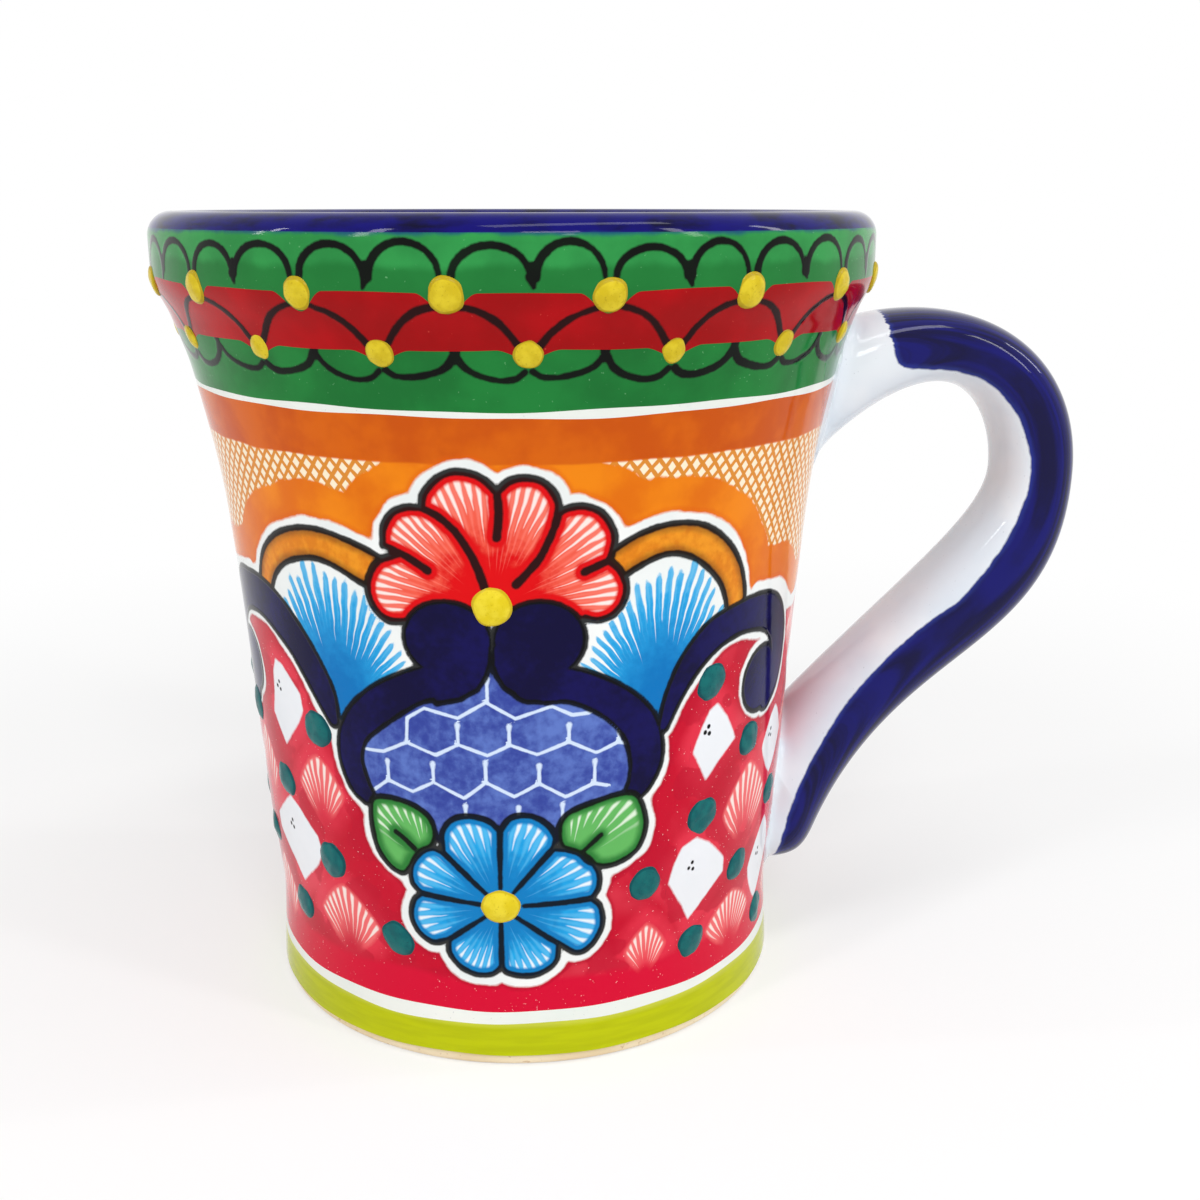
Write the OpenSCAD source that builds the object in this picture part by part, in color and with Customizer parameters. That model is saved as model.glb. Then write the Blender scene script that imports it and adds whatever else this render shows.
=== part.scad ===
// Handled earthenware mug with a tin glaze, painted bands, two flower panels and raised slip dots.
// The origin is the centre of the foot, +Z is up and the handle stands out along +X. Millimetres.

/* [Cup outside] */
// Radius of the foot
foot_r = 36.6; // [32:0.1:40]
// Radius at the waist just above the foot
waist_r = 36.1; // [32:0.1:40]
// Radius where the belly begins
belly_r = 37.3; // [33:0.1:41]
// Radius at the shoulder
shoulder_r = 40.5; // [36:0.1:44]
// Radius at the neck, under the painted border
neck_r = 43.7; // [40:0.1:47]
// Radius of the crease under the rolled rim
crease_r = 45.9; // [42:0.1:49]
// Radius of the rolled rim
rim_r = 48; // [45:0.1:52]
// Height of the waist above the table
waist_up = 12; // [8:0.5:16]
// Rise from the waist to the belly
belly_up = 14; // [10:0.5:20]
// Rise from the belly to the shoulder
shoulder_up = 44; // [36:0.5:60]
// Rise from the shoulder to the neck
neck_up = 18; // [14:0.5:24]
// Rise from the neck to the crease
crease_up = 7; // [5:0.5:9]
// Rise from the crease to the full roll of the rim
roll_up = 5.5; // [4:0.5:8]
// Rise from the full roll to the top of the lip
lip_up = 7.5; // [6:0.5:10]
// Radius of the half-round lip
lip_round = 3.1; // [2.6:0.1:3.6]

/* [Cup inside] */
// Thickness of the clay wall
wall_t = 4.2; // [3:0.1:5.5]
// Height of the glazed floor inside the cup
floor_up = 7; // [6:0.1:10]
// Radius of the corner between the floor and the wall
corner_round = 9; // [5:0.5:12]
// Width of the foot ring that the cup stands on
foot_ring_w = 7; // [4:0.5:12]
// Depth of the hollow inside the foot ring
foot_hollow = 1.2; // [0.6:0.1:2]
// Rounding of the foot's outer edge
foot_edge = 0.8; // [0.3:0.1:1.2]

/* [Glaze] */
// Thickness of each coat of glaze
coat_t = 0.4; // [0.2:0.05:0.6]
// Height of the bare clay edge at the foot
bare_h = 1.5; // [1.3:0.1:3]
// Height of the olive band at the foot
foot_band_h = 4.7; // [3:0.1:8]
// Height of the white line above the foot band
foot_line_h = 1.65; // [0.8:0.05:3]
// Depth of the cobalt coat below the top of the lip
rim_coat_h = 2; // [1:0.1:2.5]
// Angle over the lip at which the cobalt coat stops inside
rim_coat_turn = 155; // [120:5:170]
// Height of the upper green band
upper_green_h = 5.95; // [4:0.05:8]
// Height of the red band
red_h = 6.35; // [4:0.05:9]
// Height of the lower green band
lower_green_h = 6.75; // [4:0.05:9]
// Height of the white line under the lower green band
neck_line_h = 0.8; // [0.5:0.05:2]

/* [Handle] */
// How far the strap stands out past the rim
handle_reach = 31; // [26:0.5:38]
// Thickness of the strap at its farthest point
strap_t = 10.8; // [8:0.1:13]
// Width of the strap
strap_w = 15; // [12:0.5:18]
// Extra width of the strap where it meets the wall
root_flare = 5; // [2:0.5:7]
// Drop from the lip to the top of the upper root
upper_root_drop = 15.5; // [13:0.5:20]
// Height of the upper root on the wall
upper_root_h = 21.5; // [18:0.5:25]
// Height of the lower root's underside above the table
lower_root_up = 13.5; // [12:0.5:20]
// Height of the lower root on the wall
lower_root_h = 18.5; // [17:0.5:24]
// How far the strap's heel stands out from the wall over the lower root
heel_out = 7; // [5:0.1:10]
// Height of the heel above the lower root's underside
heel_up = 5; // [3:0.5:8]
// Drop from the top of the upper root to the farthest point
far_drop = 20.5; // [18:0.5:26]
// Thickness of the slip that beds each root on the wall
slip_t = 1.5; // [0.8:0.1:2.5]
// Border of slip around each root
slip_border = 2; // [1:0.1:3]
// Corner radius of the slip patches
slip_round = 8; // [4:0.5:9]
// Half angle of the cobalt stripe around the strap's section
stripe_half_turn = 90; // [54:18:108]

/* [Raised dots] */
// Number of places for yellow dots around the cup
border_dots = 17; // [14:1:20]
// Turn of the first upper yellow dot from the front
upper_dot_turn = -9.2; // [-10:0.1:10]
// Turn of the first lower yellow dot from the front
lower_dot_turn = 1.4; // [-10:0.1:10]
// How far the painter's spacing drifts at the sides
dot_sway = 0.8; // [0:0.1:4]
// Width of a yellow dot
yellow_dot_d = 3.2; // [2:0.1:4]
// Height that a yellow dot stands above the glaze
yellow_dot_h = 0.55; // [0.5:0.05:1.4]
// How far a yellow dot hangs below the edge that it marks
yellow_dot_drop = 0.5; // [0:0.1:1.5]
// Turn of the flower panels from the front and back
panel_turn = -5.1; // [-10:0.1:10]
// Height of the red flower's centre
red_flower_z = 63.5; // [58:0.5:68]
// Height of the blue flower's centre
blue_flower_z = 23.4; // [20:0.1:28]
// Width of a flower's yellow centre
flower_dot_d = 4.9; // [3:0.1:6]
// Height that a flower's centre stands above the glaze
flower_dot_h = 0.6; // [0.5:0.05:1.5]
// Width of a teal lattice dot
teal_dot_d = 4.8; // [3:0.1:5.5]
// Height that a teal dot stands above the glaze
teal_dot_h = 0.45; // [0.4:0.05:1.2]
// Height between the teal dots of one column
teal_row = 18.7; // [16:0.1:21]

/* [Hidden] */

$fn = 180;
dome_fn = 48;
dome_steps = 5;
dot_bed = 0.08;
seat_steps = 8;
panel_steps = 14;
band_steps = 3;
lip_steps = 10;
lip_edge_steps = 2;
corner_steps = 6;
inside_steps = 10;

// Cup outside: stations up the wall, joined by smooth curves that stand upright at the flat ones
waist_z = waist_up;
belly_z = waist_z + belly_up;
shoulder_z = belly_z + shoulder_up;
neck_z = shoulder_z + neck_up;
crease_z = neck_z + crease_up;
roll_z = crease_z + roll_up;
height = roll_z + lip_up;
stations = [[0, foot_r], [waist_z, waist_r], [belly_z, belly_r], [shoulder_z, shoulder_r],
            [neck_z, neck_r], [crease_z, crease_r], [roll_z, rim_r], [height, rim_r]];
flat_stations = [0, 1, 6, 7];

function slope(i) = len(search(i, flat_stations)) > 0 ? 0
    : (stations[i + 1][1] - stations[i - 1][1]) / (stations[i + 1][0] - stations[i - 1][0]);

function eased(z0, r0, s0, z1, r1, s1, z) =
    let (t = (z - z0) / (z1 - z0), d = z1 - z0)
    r0 + (r1 - r0) * t * t * (3 - 2 * t) + d * s0 * t * (1 - t) * (1 - t) - d * s1 * t * t * (1 - t);

function station_below(z) = max([for (i = [0 : len(stations) - 2]) if (i == 0 || z >= stations[i][0]) i]);

function wall_r(z) =
    let (i = station_below(z), a = stations[i], b = stations[i + 1])
    eased(a[0], a[1], slope(i), b[0], b[1], slope(i + 1), z);

// Cup inside: a constant wall up to the neck, then an easy curve to the lip
lip_z = height - lip_round;
lip_r = rim_r - lip_round;
mouth_r = rim_r - 2 * lip_round;
skin_t = wall_t + 2 * coat_t;
corner_z = floor_up + corner_round;
mouth_slope = 0.1;

function inside_r(z) = z <= neck_z ? wall_r(z) - skin_t
    : eased(neck_z, neck_r - skin_t, slope(4), lip_z, mouth_r, mouth_slope, z);

// Edges of the glaze bands
foot_band_z = bare_h + foot_band_h;
panel_low_z = foot_band_z + foot_line_h;
rim_coat_z = height - rim_coat_h;
green_z = rim_coat_z - upper_green_h;
red_z = green_z - red_h;
neck_line_z = red_z - lower_green_h;
panel_top_z = neck_line_z - neck_line_h;
rim_coat_start = asin((rim_coat_z - lip_z) / lip_round);

function steps(a, b, n) = [for (i = [0 : n]) a + (b - a) * i / n];
function past_first(list) = [for (i = [1 : len(list) - 1]) list[i]];
function backwards(list) = [for (i = [len(list) - 1 : -1 : 0]) list[i]];

foot_band_zs = [bare_h, foot_band_z];
foot_line_zs = [foot_band_z, panel_low_z];
panel_zs = steps(panel_low_z, panel_top_z, panel_steps);
neck_line_zs = [panel_top_z, neck_line_z];
lower_green_zs = steps(neck_line_z, red_z, band_steps);
red_zs = steps(red_z, green_z, band_steps);
upper_green_zs = steps(green_z, lip_z, band_steps);
all_zs = concat(foot_band_zs, past_first(foot_line_zs), past_first(panel_zs), past_first(neck_line_zs),
                past_first(lower_green_zs), past_first(red_zs), past_first(upper_green_zs));
inside_zs = steps(lip_z, corner_z, inside_steps);

// Points on the cup's section, at a depth under the glaze's surface
function outside(zs, depth) = [for (z = zs) [wall_r(z) - depth, z]];
function lip(a0, a1, n, depth) =
    [for (a = steps(a0, a1, n)) [lip_r, lip_z] + (lip_round - depth) * [cos(a), sin(a)]];
function lip_line(depth) = concat(lip(0, rim_coat_start, lip_edge_steps, depth),
    past_first(lip(rim_coat_start, rim_coat_turn, lip_steps, depth)),
    past_first(lip(rim_coat_turn, 180, lip_edge_steps, depth)));
function inside(depth) = [for (z = inside_zs) [inside_r(z) + depth, z]];
function corner(depth) =
    [for (a = steps(0, -90, corner_steps))
        [inside_r(corner_z) - corner_round, corner_z] + (corner_round + depth) * [cos(a), sin(a)]];
function between(upper, lower) = concat(upper, backwards(lower));

// Handle: an outer and an inner rail in the XZ plane, with an oval section between them
far_x = rim_r + handle_reach;
upper_root_top = height - upper_root_drop;
upper_root_low = upper_root_top - upper_root_h;
lower_root_top = lower_root_up + lower_root_h;
far_z = upper_root_top - far_drop;
root_sink = 3;
crown_back = 16.1;
crown_rise = 7.2;
knuckle_rise = 18;
calf_drop = 28.5;
arch_back = 21;
arch_rise = 23.5;
palm_rise = 11;
palm_drop = 7.5;
ankle_out = 18.3;
ankle_rise = 28.5;
sole_turn = 3.5;
tuck_out = 15.8;
tuck_rise = 21.8;
flare_length = 0.45;
oval = 0.85;
ring_points = 20;
rail_steps = 32;
heel_steps = 6;
strap_steps = rail_steps + heel_steps;
stripe_start = 4;

function root_x(z) = wall_r(z) - root_sink;
heel_z = lower_root_up + heel_up;
heel_x = wall_r(heel_z) + heel_out;
sole_x = root_x(lower_root_up);
outer_rail = [
    [[root_x(upper_root_top), upper_root_top], [far_x - crown_back, upper_root_top + crown_rise],
     [far_x, far_z + knuckle_rise], [far_x, far_z]],
    [[far_x, far_z], [far_x, far_z - calf_drop],
     [heel_x + ankle_out - heel_out, heel_z + ankle_rise], [heel_x, heel_z]],
    [[heel_x, heel_z], [heel_x - heel_up / ankle_rise * (ankle_out - heel_out), lower_root_up],
     [heel_x - sole_turn, lower_root_up], [sole_x, lower_root_up]]];
inner_x = far_x - strap_t;
inner_rail = [
    [[root_x(upper_root_low), upper_root_low], [root_x(upper_root_low) + arch_back, upper_root_low + arch_rise],
     [inner_x, far_z + palm_rise], [inner_x, far_z]],
    [[inner_x, far_z], [inner_x, far_z - palm_drop],
     [wall_r(lower_root_top) + tuck_out, lower_root_top + tuck_rise], [root_x(lower_root_top), lower_root_top]],
    [for (t = [0 : 1 / 3 : 1]) let (z = lower_root_top - t * lower_root_h / 3) [root_x(z), z]]];

function bezier(p, t) = pow(1 - t, 3) * p[0] + 3 * t * pow(1 - t, 2) * p[1]
    + 3 * t * t * (1 - t) * p[2] + pow(t, 3) * p[3];
function along(rail, u) = let (k = min(floor(u), len(rail) - 1)) bezier(rail[k], u - k);
function station(i) = i <= rail_steps ? 2 * i / rail_steps : 2 + (i - rail_steps) / heel_steps;
function strap_half_w(u) =
    let (root = max(0, 1 - min(u, max(0, 2 - u)) / flare_length))
    (strap_w + root_flare * root * root) / 2;
function rounded(v) = sign(v) * pow(abs(v), oval);

// A point on the strap's section at station u and turn a, at a depth under the glaze's surface
function strap_point(u, a, depth) =
    let (o = along(outer_rail, u), i = along(inner_rail, u), m = (o + i) / 2,
         half_t = norm(o - i) / 2, out = (o - i) / norm(o - i),
         p = m + out * (half_t - depth) * rounded(cos(a)))
    [p[0], (strap_half_w(u) - depth) * rounded(sin(a)), p[1]];

function strap_grid(depth) = [for (i = [0 : strap_steps], j = [0 : ring_points - 1])
    strap_point(station(i), 360 * j / ring_points, depth)];
function spot(i, j) = i * ring_points + (j + ring_points) % ring_points;
strap_count = (strap_steps + 1) * ring_points;

// True where the cobalt stripe covers the strap, cell by cell
function striped(i, j) = i >= stripe_start && cos(360 * (j + 0.5) / ring_points) > cos(stripe_half_turn);
function coated(i, j, blue) = i >= 0 && i < strap_steps && striped(i, (j + ring_points) % ring_points) == blue;

module cup_section(points) {
    rotate_extrude() polygon(points);
}

// Everything inside a surface that lies at a depth under the wall's glaze
module wall_core(depth) {
    cup_section(concat([[0, bare_h]], outside(all_zs, depth), [[0, lip_z]]));
}

module slip_patch(low_z, tall) {
    w = strap_w + root_flare + 2 * slip_border;
    h = tall + 2 * slip_border;
    r = min(slip_round, w / 2 - slip_border, h / 2 - slip_border);
    translate([0, 0, low_z + tall / 2]) rotate([90, 0, 90]) linear_extrude(rim_r + handle_reach) {
        square([w - 2 * r, h], center = true);
        square([w, h - 2 * r], center = true);
        for (x = [-1, 1], y = [-1, 1]) translate([x * (w / 2 - r), y * (h / 2 - r)]) circle(r);
    }
}

module upper_patch() slip_patch(upper_root_low, upper_root_h);
module lower_patch() slip_patch(lower_root_up, lower_root_h);

module wall_coat(zs) {
    cup_section(between(outside(zs, 0), outside(zs, coat_t)));
}

module slip_layer() {
    cup_section(between(outside(all_zs, coat_t - slip_t), outside(all_zs, coat_t)));
}

// Seat of a dot of width d: the coat's radius and lean there, and how far the coat rises over a flat underside
coat_line = [for (z = all_zs) [z, wall_r(z)]];
function coat_r(z) = lookup(z, coat_line);
function seat_lean(z, d) = atan2(coat_r(z + d / 2) - coat_r(z - d / 2), d);
function seat_rise(z, d) =
    let (lean = seat_lean(z, d))
    max([for (up = steps(-d / 2, d / 2, seat_steps)) (coat_r(z + up) - coat_r(z)) * cos(lean) - up * sin(lean)]);

// A low dome bedded square on the glaze, at a turn from the front and a height
module dome(turn, z, d, h) {
    ball_r = (d * d / 4 + h * h) / (2 * h);
    edge = asin(d / 2 / ball_r);
    rotate(turn) translate([0, -coat_r(z), z]) rotate([90 + seat_lean(z, d), 0, 0])
        translate([0, 0, dot_bed + seat_rise(z, d)])
            rotate_extrude($fn = dome_fn) polygon(concat([[0, 0]],
                [for (a = steps(edge, 0, dome_steps)) [ball_r * sin(a), h - ball_r + ball_r * cos(a)]]));
}

// Turns of the yellow dots at a height, left out where a dot would reach the slip of the upper root
dot_keep_off = (strap_w + root_flare) / 2 + slip_border + yellow_dot_d;
function swayed(turn) = turn - dot_sway * sin(turn);
function beside_handle(turn, z) = sin(turn) > 0 && abs(cos(turn)) * wall_r(z) < dot_keep_off
    && z < upper_root_top + slip_border + yellow_dot_d;
function border_turns(first, z) = [for (i = [0 : border_dots - 1])
    let (turn = swayed(first + i * 360 / border_dots)) if (!beside_handle(turn, z)) turn];

module border_row(first, z) {
    for (turn = border_turns(first, z)) dome(turn, z, yellow_dot_d, yellow_dot_h);
}

// Teal dots: each row is a column's turn, its lowest dot and how many dots stand in it
panel_columns = [[-57.3, 16, 2], [-43, 25.8, 2], [-27.5, 16.8, 1], [24.1, 24.5, 1], [37.5, 13.4, 3],
                 [51.2, 21.8, 2], [65.3, 11, 2]];
plain_side_columns = [[79, 19, 2], [94, 27, 2], [108.5, 24, 2]];
handle_side_columns = [[113.6, 25.3, 2]];

module teal_column(column, turn) {
    for (k = [0 : column[2] - 1]) dome(column[0] + turn, column[1] + k * teal_row, teal_dot_d, teal_dot_h);
}

module clay_body() {
    foot_outer = foot_r - coat_t;
    foot_inner = foot_r - foot_ring_w;
    color("#D9B79C") cup_section(concat(
        [[0, foot_hollow], [foot_inner - foot_hollow, foot_hollow], [foot_inner, 0],
         [foot_outer - foot_edge, 0], [foot_outer, foot_edge]],
        outside(all_zs, coat_t), past_first(lip_line(coat_t)),
        past_first(inside(coat_t)), past_first(corner(coat_t)), [[0, floor_up - coat_t]]));
}

module clay_handle() {
    faces = [for (i = [0 : strap_steps - 1], j = [0 : ring_points - 1])
        each [[spot(i, j), spot(i, j + 1), spot(i + 1, j)], [spot(i, j + 1), spot(i + 1, j + 1), spot(i + 1, j)]]];
    first_end = [for (j = [ring_points - 1 : -1 : 0]) spot(0, j)];
    last_end = [for (j = [0 : ring_points - 1]) spot(strap_steps, j)];
    color("#E3D3C4") difference() {
        polyhedron(strap_grid(coat_t), concat(faces, [first_end, last_end]));
        wall_core(coat_t - slip_t);
    }
}

module upper_handle_joint() {
    color("#DCC3AD") intersection() {
        slip_layer();
        upper_patch();
    }
}

module lower_handle_joint() {
    color("#DCC3AD") intersection() {
        slip_layer();
        lower_patch();
    }
}

module inner_glaze() {
    color("#E9EEF0") cup_section(between(
        concat(lip(rim_coat_turn, 180, lip_edge_steps, 0), past_first(inside(0)), past_first(corner(0)), [[0, floor_up]]),
        concat(lip(rim_coat_turn, 180, lip_edge_steps, coat_t), past_first(inside(coat_t)), past_first(corner(coat_t)),
               [[0, floor_up - coat_t]])));
}

module rim_glaze() {
    color("#14146E") cup_section(between(lip(rim_coat_start, rim_coat_turn, lip_steps, 0),
                                         lip(rim_coat_start, rim_coat_turn, lip_steps, coat_t)));
}

module upper_green_band() {
    color("#2F9A50") cup_section(between(
        concat(outside(upper_green_zs, 0), past_first(lip(0, rim_coat_start, lip_edge_steps, 0))),
        concat(outside(upper_green_zs, coat_t), past_first(lip(0, rim_coat_start, lip_edge_steps, coat_t)))));
}

module red_band() {
    color("#C8101C") difference() {
        wall_coat(red_zs);
        upper_patch();
    }
}

module lower_green_band() {
    color("#2B8C48") difference() {
        wall_coat(lower_green_zs);
        upper_patch();
    }
}

module white_lines() {
    color("#EDF0F0") {
        difference() {
            wall_coat(neck_line_zs);
            upper_patch();
        }
        wall_coat(foot_line_zs);
    }
}

module panel_glaze() {
    color("#E07A14") difference() {
        wall_coat(panel_zs);
        upper_patch();
        lower_patch();
    }
}

module foot_band() {
    color("#A9B40C") wall_coat(foot_band_zs);
}

// A coat on part of the strap: its skins over the cells it covers, closed by walls at their edges
module strap_coat(blue) {
    n = strap_count;
    faces = [for (i = [0 : strap_steps - 1], j = [0 : ring_points - 1]) if (coated(i, j, blue))
        let (a = spot(i, j), b = spot(i, j + 1), c = spot(i + 1, j + 1), d = spot(i + 1, j))
        each concat(
            [[a, b, d], [b, c, d], [n + a, n + d, n + b], [n + b, n + d, n + c]],
            coated(i - 1, j, blue) ? [] : [[a, n + a, b], [b, n + a, n + b]],
            coated(i + 1, j, blue) ? [] : [[c, n + c, d], [d, n + c, n + d]],
            coated(i, j - 1, blue) ? [] : [[d, n + d, a], [a, n + d, n + a]],
            coated(i, j + 1, blue) ? [] : [[b, n + b, c], [c, n + b, n + c]])];
    difference() {
        polyhedron(concat(strap_grid(0), strap_grid(coat_t)), faces);
        wall_core(coat_t - slip_t);
    }
}

module handle_white_glaze() {
    color("#E9EEF2") strap_coat(false);
}

module handle_blue_stripe() {
    color("#14146E") strap_coat(true);
}

module upper_yellow_dots() {
    color("#E8CC10")
        border_row(upper_dot_turn, green_z - yellow_dot_drop);
}

module lower_yellow_dots() {
    color("#E8CC10")
        border_row(lower_dot_turn, red_z - yellow_dot_drop);
}

module flower_centres() {
    color("#F0D010")
        for (side = [0, 180], z = [red_flower_z, blue_flower_z])
            dome(panel_turn + side, z, flower_dot_d, flower_dot_h);
}

module teal_dots() {
    color("#12695F") {
        for (side = [0, 180], column = panel_columns) teal_column(column, side);
        for (column = plain_side_columns) teal_column(column, 180);
        for (column = handle_side_columns) teal_column(column, 0);
    }
}

clay_body();
clay_handle();
upper_handle_joint();
lower_handle_joint();
inner_glaze();
rim_glaze();
upper_green_band();
red_band();
lower_green_band();
white_lines();
panel_glaze();
foot_band();
handle_white_glaze();
handle_blue_stripe();
upper_yellow_dots();
lower_yellow_dots();
flower_centres();
teal_dots();
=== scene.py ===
# Looks of a handled earthenware mug: white tin glaze, painted bands, two flower panels, raised slip dots.
# Sizes are in millimetres and MM makes them metres. A turn runs from the front of the cup towards +X.
import math
from types import SimpleNamespace

import bpy
import numpy as np
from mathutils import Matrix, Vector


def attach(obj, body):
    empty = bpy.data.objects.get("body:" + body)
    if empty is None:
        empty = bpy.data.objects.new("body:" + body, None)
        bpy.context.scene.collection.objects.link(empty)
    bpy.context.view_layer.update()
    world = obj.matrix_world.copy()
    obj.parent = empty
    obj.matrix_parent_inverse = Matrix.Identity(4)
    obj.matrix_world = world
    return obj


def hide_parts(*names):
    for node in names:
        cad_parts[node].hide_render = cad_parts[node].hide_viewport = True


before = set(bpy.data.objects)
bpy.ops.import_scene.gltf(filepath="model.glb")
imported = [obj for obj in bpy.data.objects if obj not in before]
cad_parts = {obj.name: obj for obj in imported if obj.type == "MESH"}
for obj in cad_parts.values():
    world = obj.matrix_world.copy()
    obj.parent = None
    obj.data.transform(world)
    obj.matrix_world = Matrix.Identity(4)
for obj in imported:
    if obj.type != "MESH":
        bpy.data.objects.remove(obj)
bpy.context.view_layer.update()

# Clay body: the thrown cup of pale earthenware, with a rolled lip and a turned foot ring.
# Glaze covers it all over but for the foot, where the bare cream clay shows as a thin line
# and the underside keeps the fine rings of the turning tool.
MM = 0.001
COAT = 0.4
HEIGHT = 108.0
LIP_ROUND = 3.1
RIM_R = 48.0
LIP_R = RIM_R - LIP_ROUND
LIP_Z = HEIGHT - LIP_ROUND
NECK_Z = 88.0
WALL_STATIONS = np.array([(0, 36.6), (12, 36.1), (26, 37.3), (70, 40.5), (NECK_Z, 43.7), (95, 45.9),
                          (100.5, RIM_R), (HEIGHT, RIM_R)])
UPRIGHT_STATIONS = (0, 1, 6, 7)
SKIN = 5.0
FLOOR_Z = 7.0
CORNER_ROUND = 9.0
CORNER_Z = FLOOR_Z + CORNER_ROUND
BARE_H = 1.5
FOOT_RING = 7.0
FOOT_HOLLOW = 1.2
FOOT_EDGE = 0.8
BODY_TURNS = 256


def eased(z, z0, r0, slope0, z1, r1, slope1):
    """Radius at a height on a smooth curve between two stations, each with its own slope."""
    t = (z - z0) / (z1 - z0)
    d = z1 - z0
    return r0 + (r1 - r0) * t * t * (3 - 2 * t) + d * slope0 * t * (1 - t) ** 2 - d * slope1 * t * t * (1 - t)


def station_slopes():
    """Slope of the wall at each station, which is upright at the foot and at the rim."""
    z, r = WALL_STATIONS.T
    slopes = np.zeros(len(z))
    slopes[1:-1] = (r[2:] - r[:-2]) / (z[2:] - z[:-2])
    slopes[list(UPRIGHT_STATIONS)] = 0
    return slopes


WALL_SLOPES = station_slopes()


def wall_r(z):
    """Radius of the glazed outside at a height, over the rounding of the lip too."""
    z = np.asarray(z, float)
    i = np.clip(np.searchsorted(WALL_STATIONS[:, 0], z, side="right") - 1, 0, len(WALL_STATIONS) - 2)
    a, b = WALL_STATIONS[i], WALL_STATIONS[i + 1]
    r = eased(z, a[..., 0], a[..., 1], WALL_SLOPES[i], b[..., 0], b[..., 1], WALL_SLOPES[i + 1])
    over = np.clip(z - LIP_Z, 0, LIP_ROUND)
    return np.where(z > LIP_Z, LIP_R + np.sqrt(LIP_ROUND ** 2 - over ** 2), r)


def inside_r(z):
    """Radius of the glazed inside at a height above its rounded corner."""
    z = np.asarray(z, float)
    neck_r = WALL_STATIONS[4, 1] - SKIN
    upper = eased(z, NECK_Z, neck_r, WALL_SLOPES[4], LIP_Z, LIP_R - LIP_ROUND, 0.1)
    return np.where(z <= NECK_Z, wall_r(np.minimum(z, NECK_Z)) - SKIN, upper)


def lip_line(start, end, steps, depth):
    """Points over the half-round lip between two angles, at a depth under its glaze."""
    turn = np.radians(np.linspace(start, end, steps + 1))
    reach = LIP_ROUND - depth
    return np.stack([LIP_R + reach * np.cos(turn), LIP_Z + reach * np.sin(turn)], axis=1)


def inside_line(depth):
    """Points down the inside from the lip to the middle of the floor, at a depth under its glaze."""
    z = np.linspace(LIP_Z, CORNER_Z, 60)
    wall = np.stack([inside_r(z) + depth, z], axis=1)
    turn = np.radians(np.linspace(0, -90, 17)[1:])
    centre = np.array([float(inside_r(CORNER_Z)) - CORNER_ROUND, CORNER_Z])
    corner = centre + (CORNER_ROUND + depth) * np.stack([np.cos(turn), np.sin(turn)], axis=1)
    floor_r = np.linspace(corner[-1, 0], 0, 12)[1:]
    floor = np.stack([floor_r, np.full(len(floor_r), FLOOR_Z - depth)], axis=1)
    return np.concatenate([wall, corner, floor])


def new_piece(name, points, faces, material):
    """A smooth mesh object at the origin, from points in millimetres."""
    mesh = bpy.data.meshes.new(name)
    mesh.from_pydata((np.asarray(points) * MM).tolist(), [], faces)
    mesh.polygons.foreach_set("use_smooth", np.ones(len(mesh.polygons), bool))
    mesh.set_sharp_from_angle(angle=math.radians(42))
    mesh.materials.append(material)
    mesh.update()
    piece = bpy.data.objects.new(name, mesh)
    bpy.context.scene.collection.objects.link(piece)
    return piece


def at_turn(turn, r, z):
    """Points at a turn in radians from the front, a radius and a height."""
    turn, r, z = np.broadcast_arrays(turn, r, z)
    return np.stack([r * np.sin(turn), -r * np.cos(turn), z], axis=-1)


def turned(name, line, material, turns=BODY_TURNS):
    """A revolved piece from a closed section, which runs up the outside and down the inside."""
    line = np.asarray(line, float)
    on_axis = np.flatnonzero(line[:, 0] < 1e-6)
    angles = np.linspace(0, 2 * math.pi, turns, endpoint=False)
    points = at_turn(angles[:, None], line[None, :, 0], line[None, :, 1]).reshape(-1, 3)
    count = len(line)
    spot = np.arange(turns * count).reshape(turns, count)
    spot[:, on_axis] = spot[0, on_axis]
    faces = []
    for i in range(turns):
        here, there = spot[i], spot[(i + 1) % turns]
        for j in range(count):
            k = (j + 1) % count
            corners = list(dict.fromkeys([here[j], there[j], there[k], here[k]]))
            if len(corners) > 2:
                faces.append([int(c) for c in corners])
    used = sorted({c for face in faces for c in face})
    order = {c: n for n, c in enumerate(used)}
    return new_piece(name, points[used], [[order[c] for c in face] for face in faces], material)


class Value:
    """A socket of a node tree. An expression on values adds the Math nodes that it stands for."""

    def __init__(self, tree, socket=None):
        self.tree = tree
        self.socket = socket

    def node(self, kind, settings=None, sockets=None, out=0):
        """Adds a node, sets it up, fills or links its sockets, and gives one of its outputs."""
        made = self.tree.nodes.new(kind)
        for name, setting in (settings or {}).items():
            setattr(made, name, setting)
        for key, value in (sockets or {}).items():
            if isinstance(value, Value):
                self.tree.links.new(value.socket, made.inputs[key])
            else:
                made.inputs[key].default_value = value
        return Value(self.tree, made.outputs[out] if len(made.outputs) else None)

    def math(self, operation, *values, clamp=False):
        settings = {"operation": operation, "use_clamp": clamp}
        return self.node("ShaderNodeMath", settings, dict(enumerate(values)))

    def __add__(self, other):
        return self.math("ADD", self, other)

    __radd__ = __add__

    def __sub__(self, other):
        return self.math("SUBTRACT", self, other)

    def __rsub__(self, other):
        return self.math("SUBTRACT", other, self)

    def __mul__(self, other):
        return self.math("MULTIPLY", self, other)

    __rmul__ = __mul__


def tint(code):
    """A colour written as six hex digits, in Blender's linear values."""
    parts = [int(code[i:i + 2], 16) / 255 for i in (0, 2, 4)]
    return tuple(c / 12.92 if c <= 0.04045 else ((c + 0.055) / 1.055) ** 2.4 for c in parts) + (1.0,)


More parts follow.
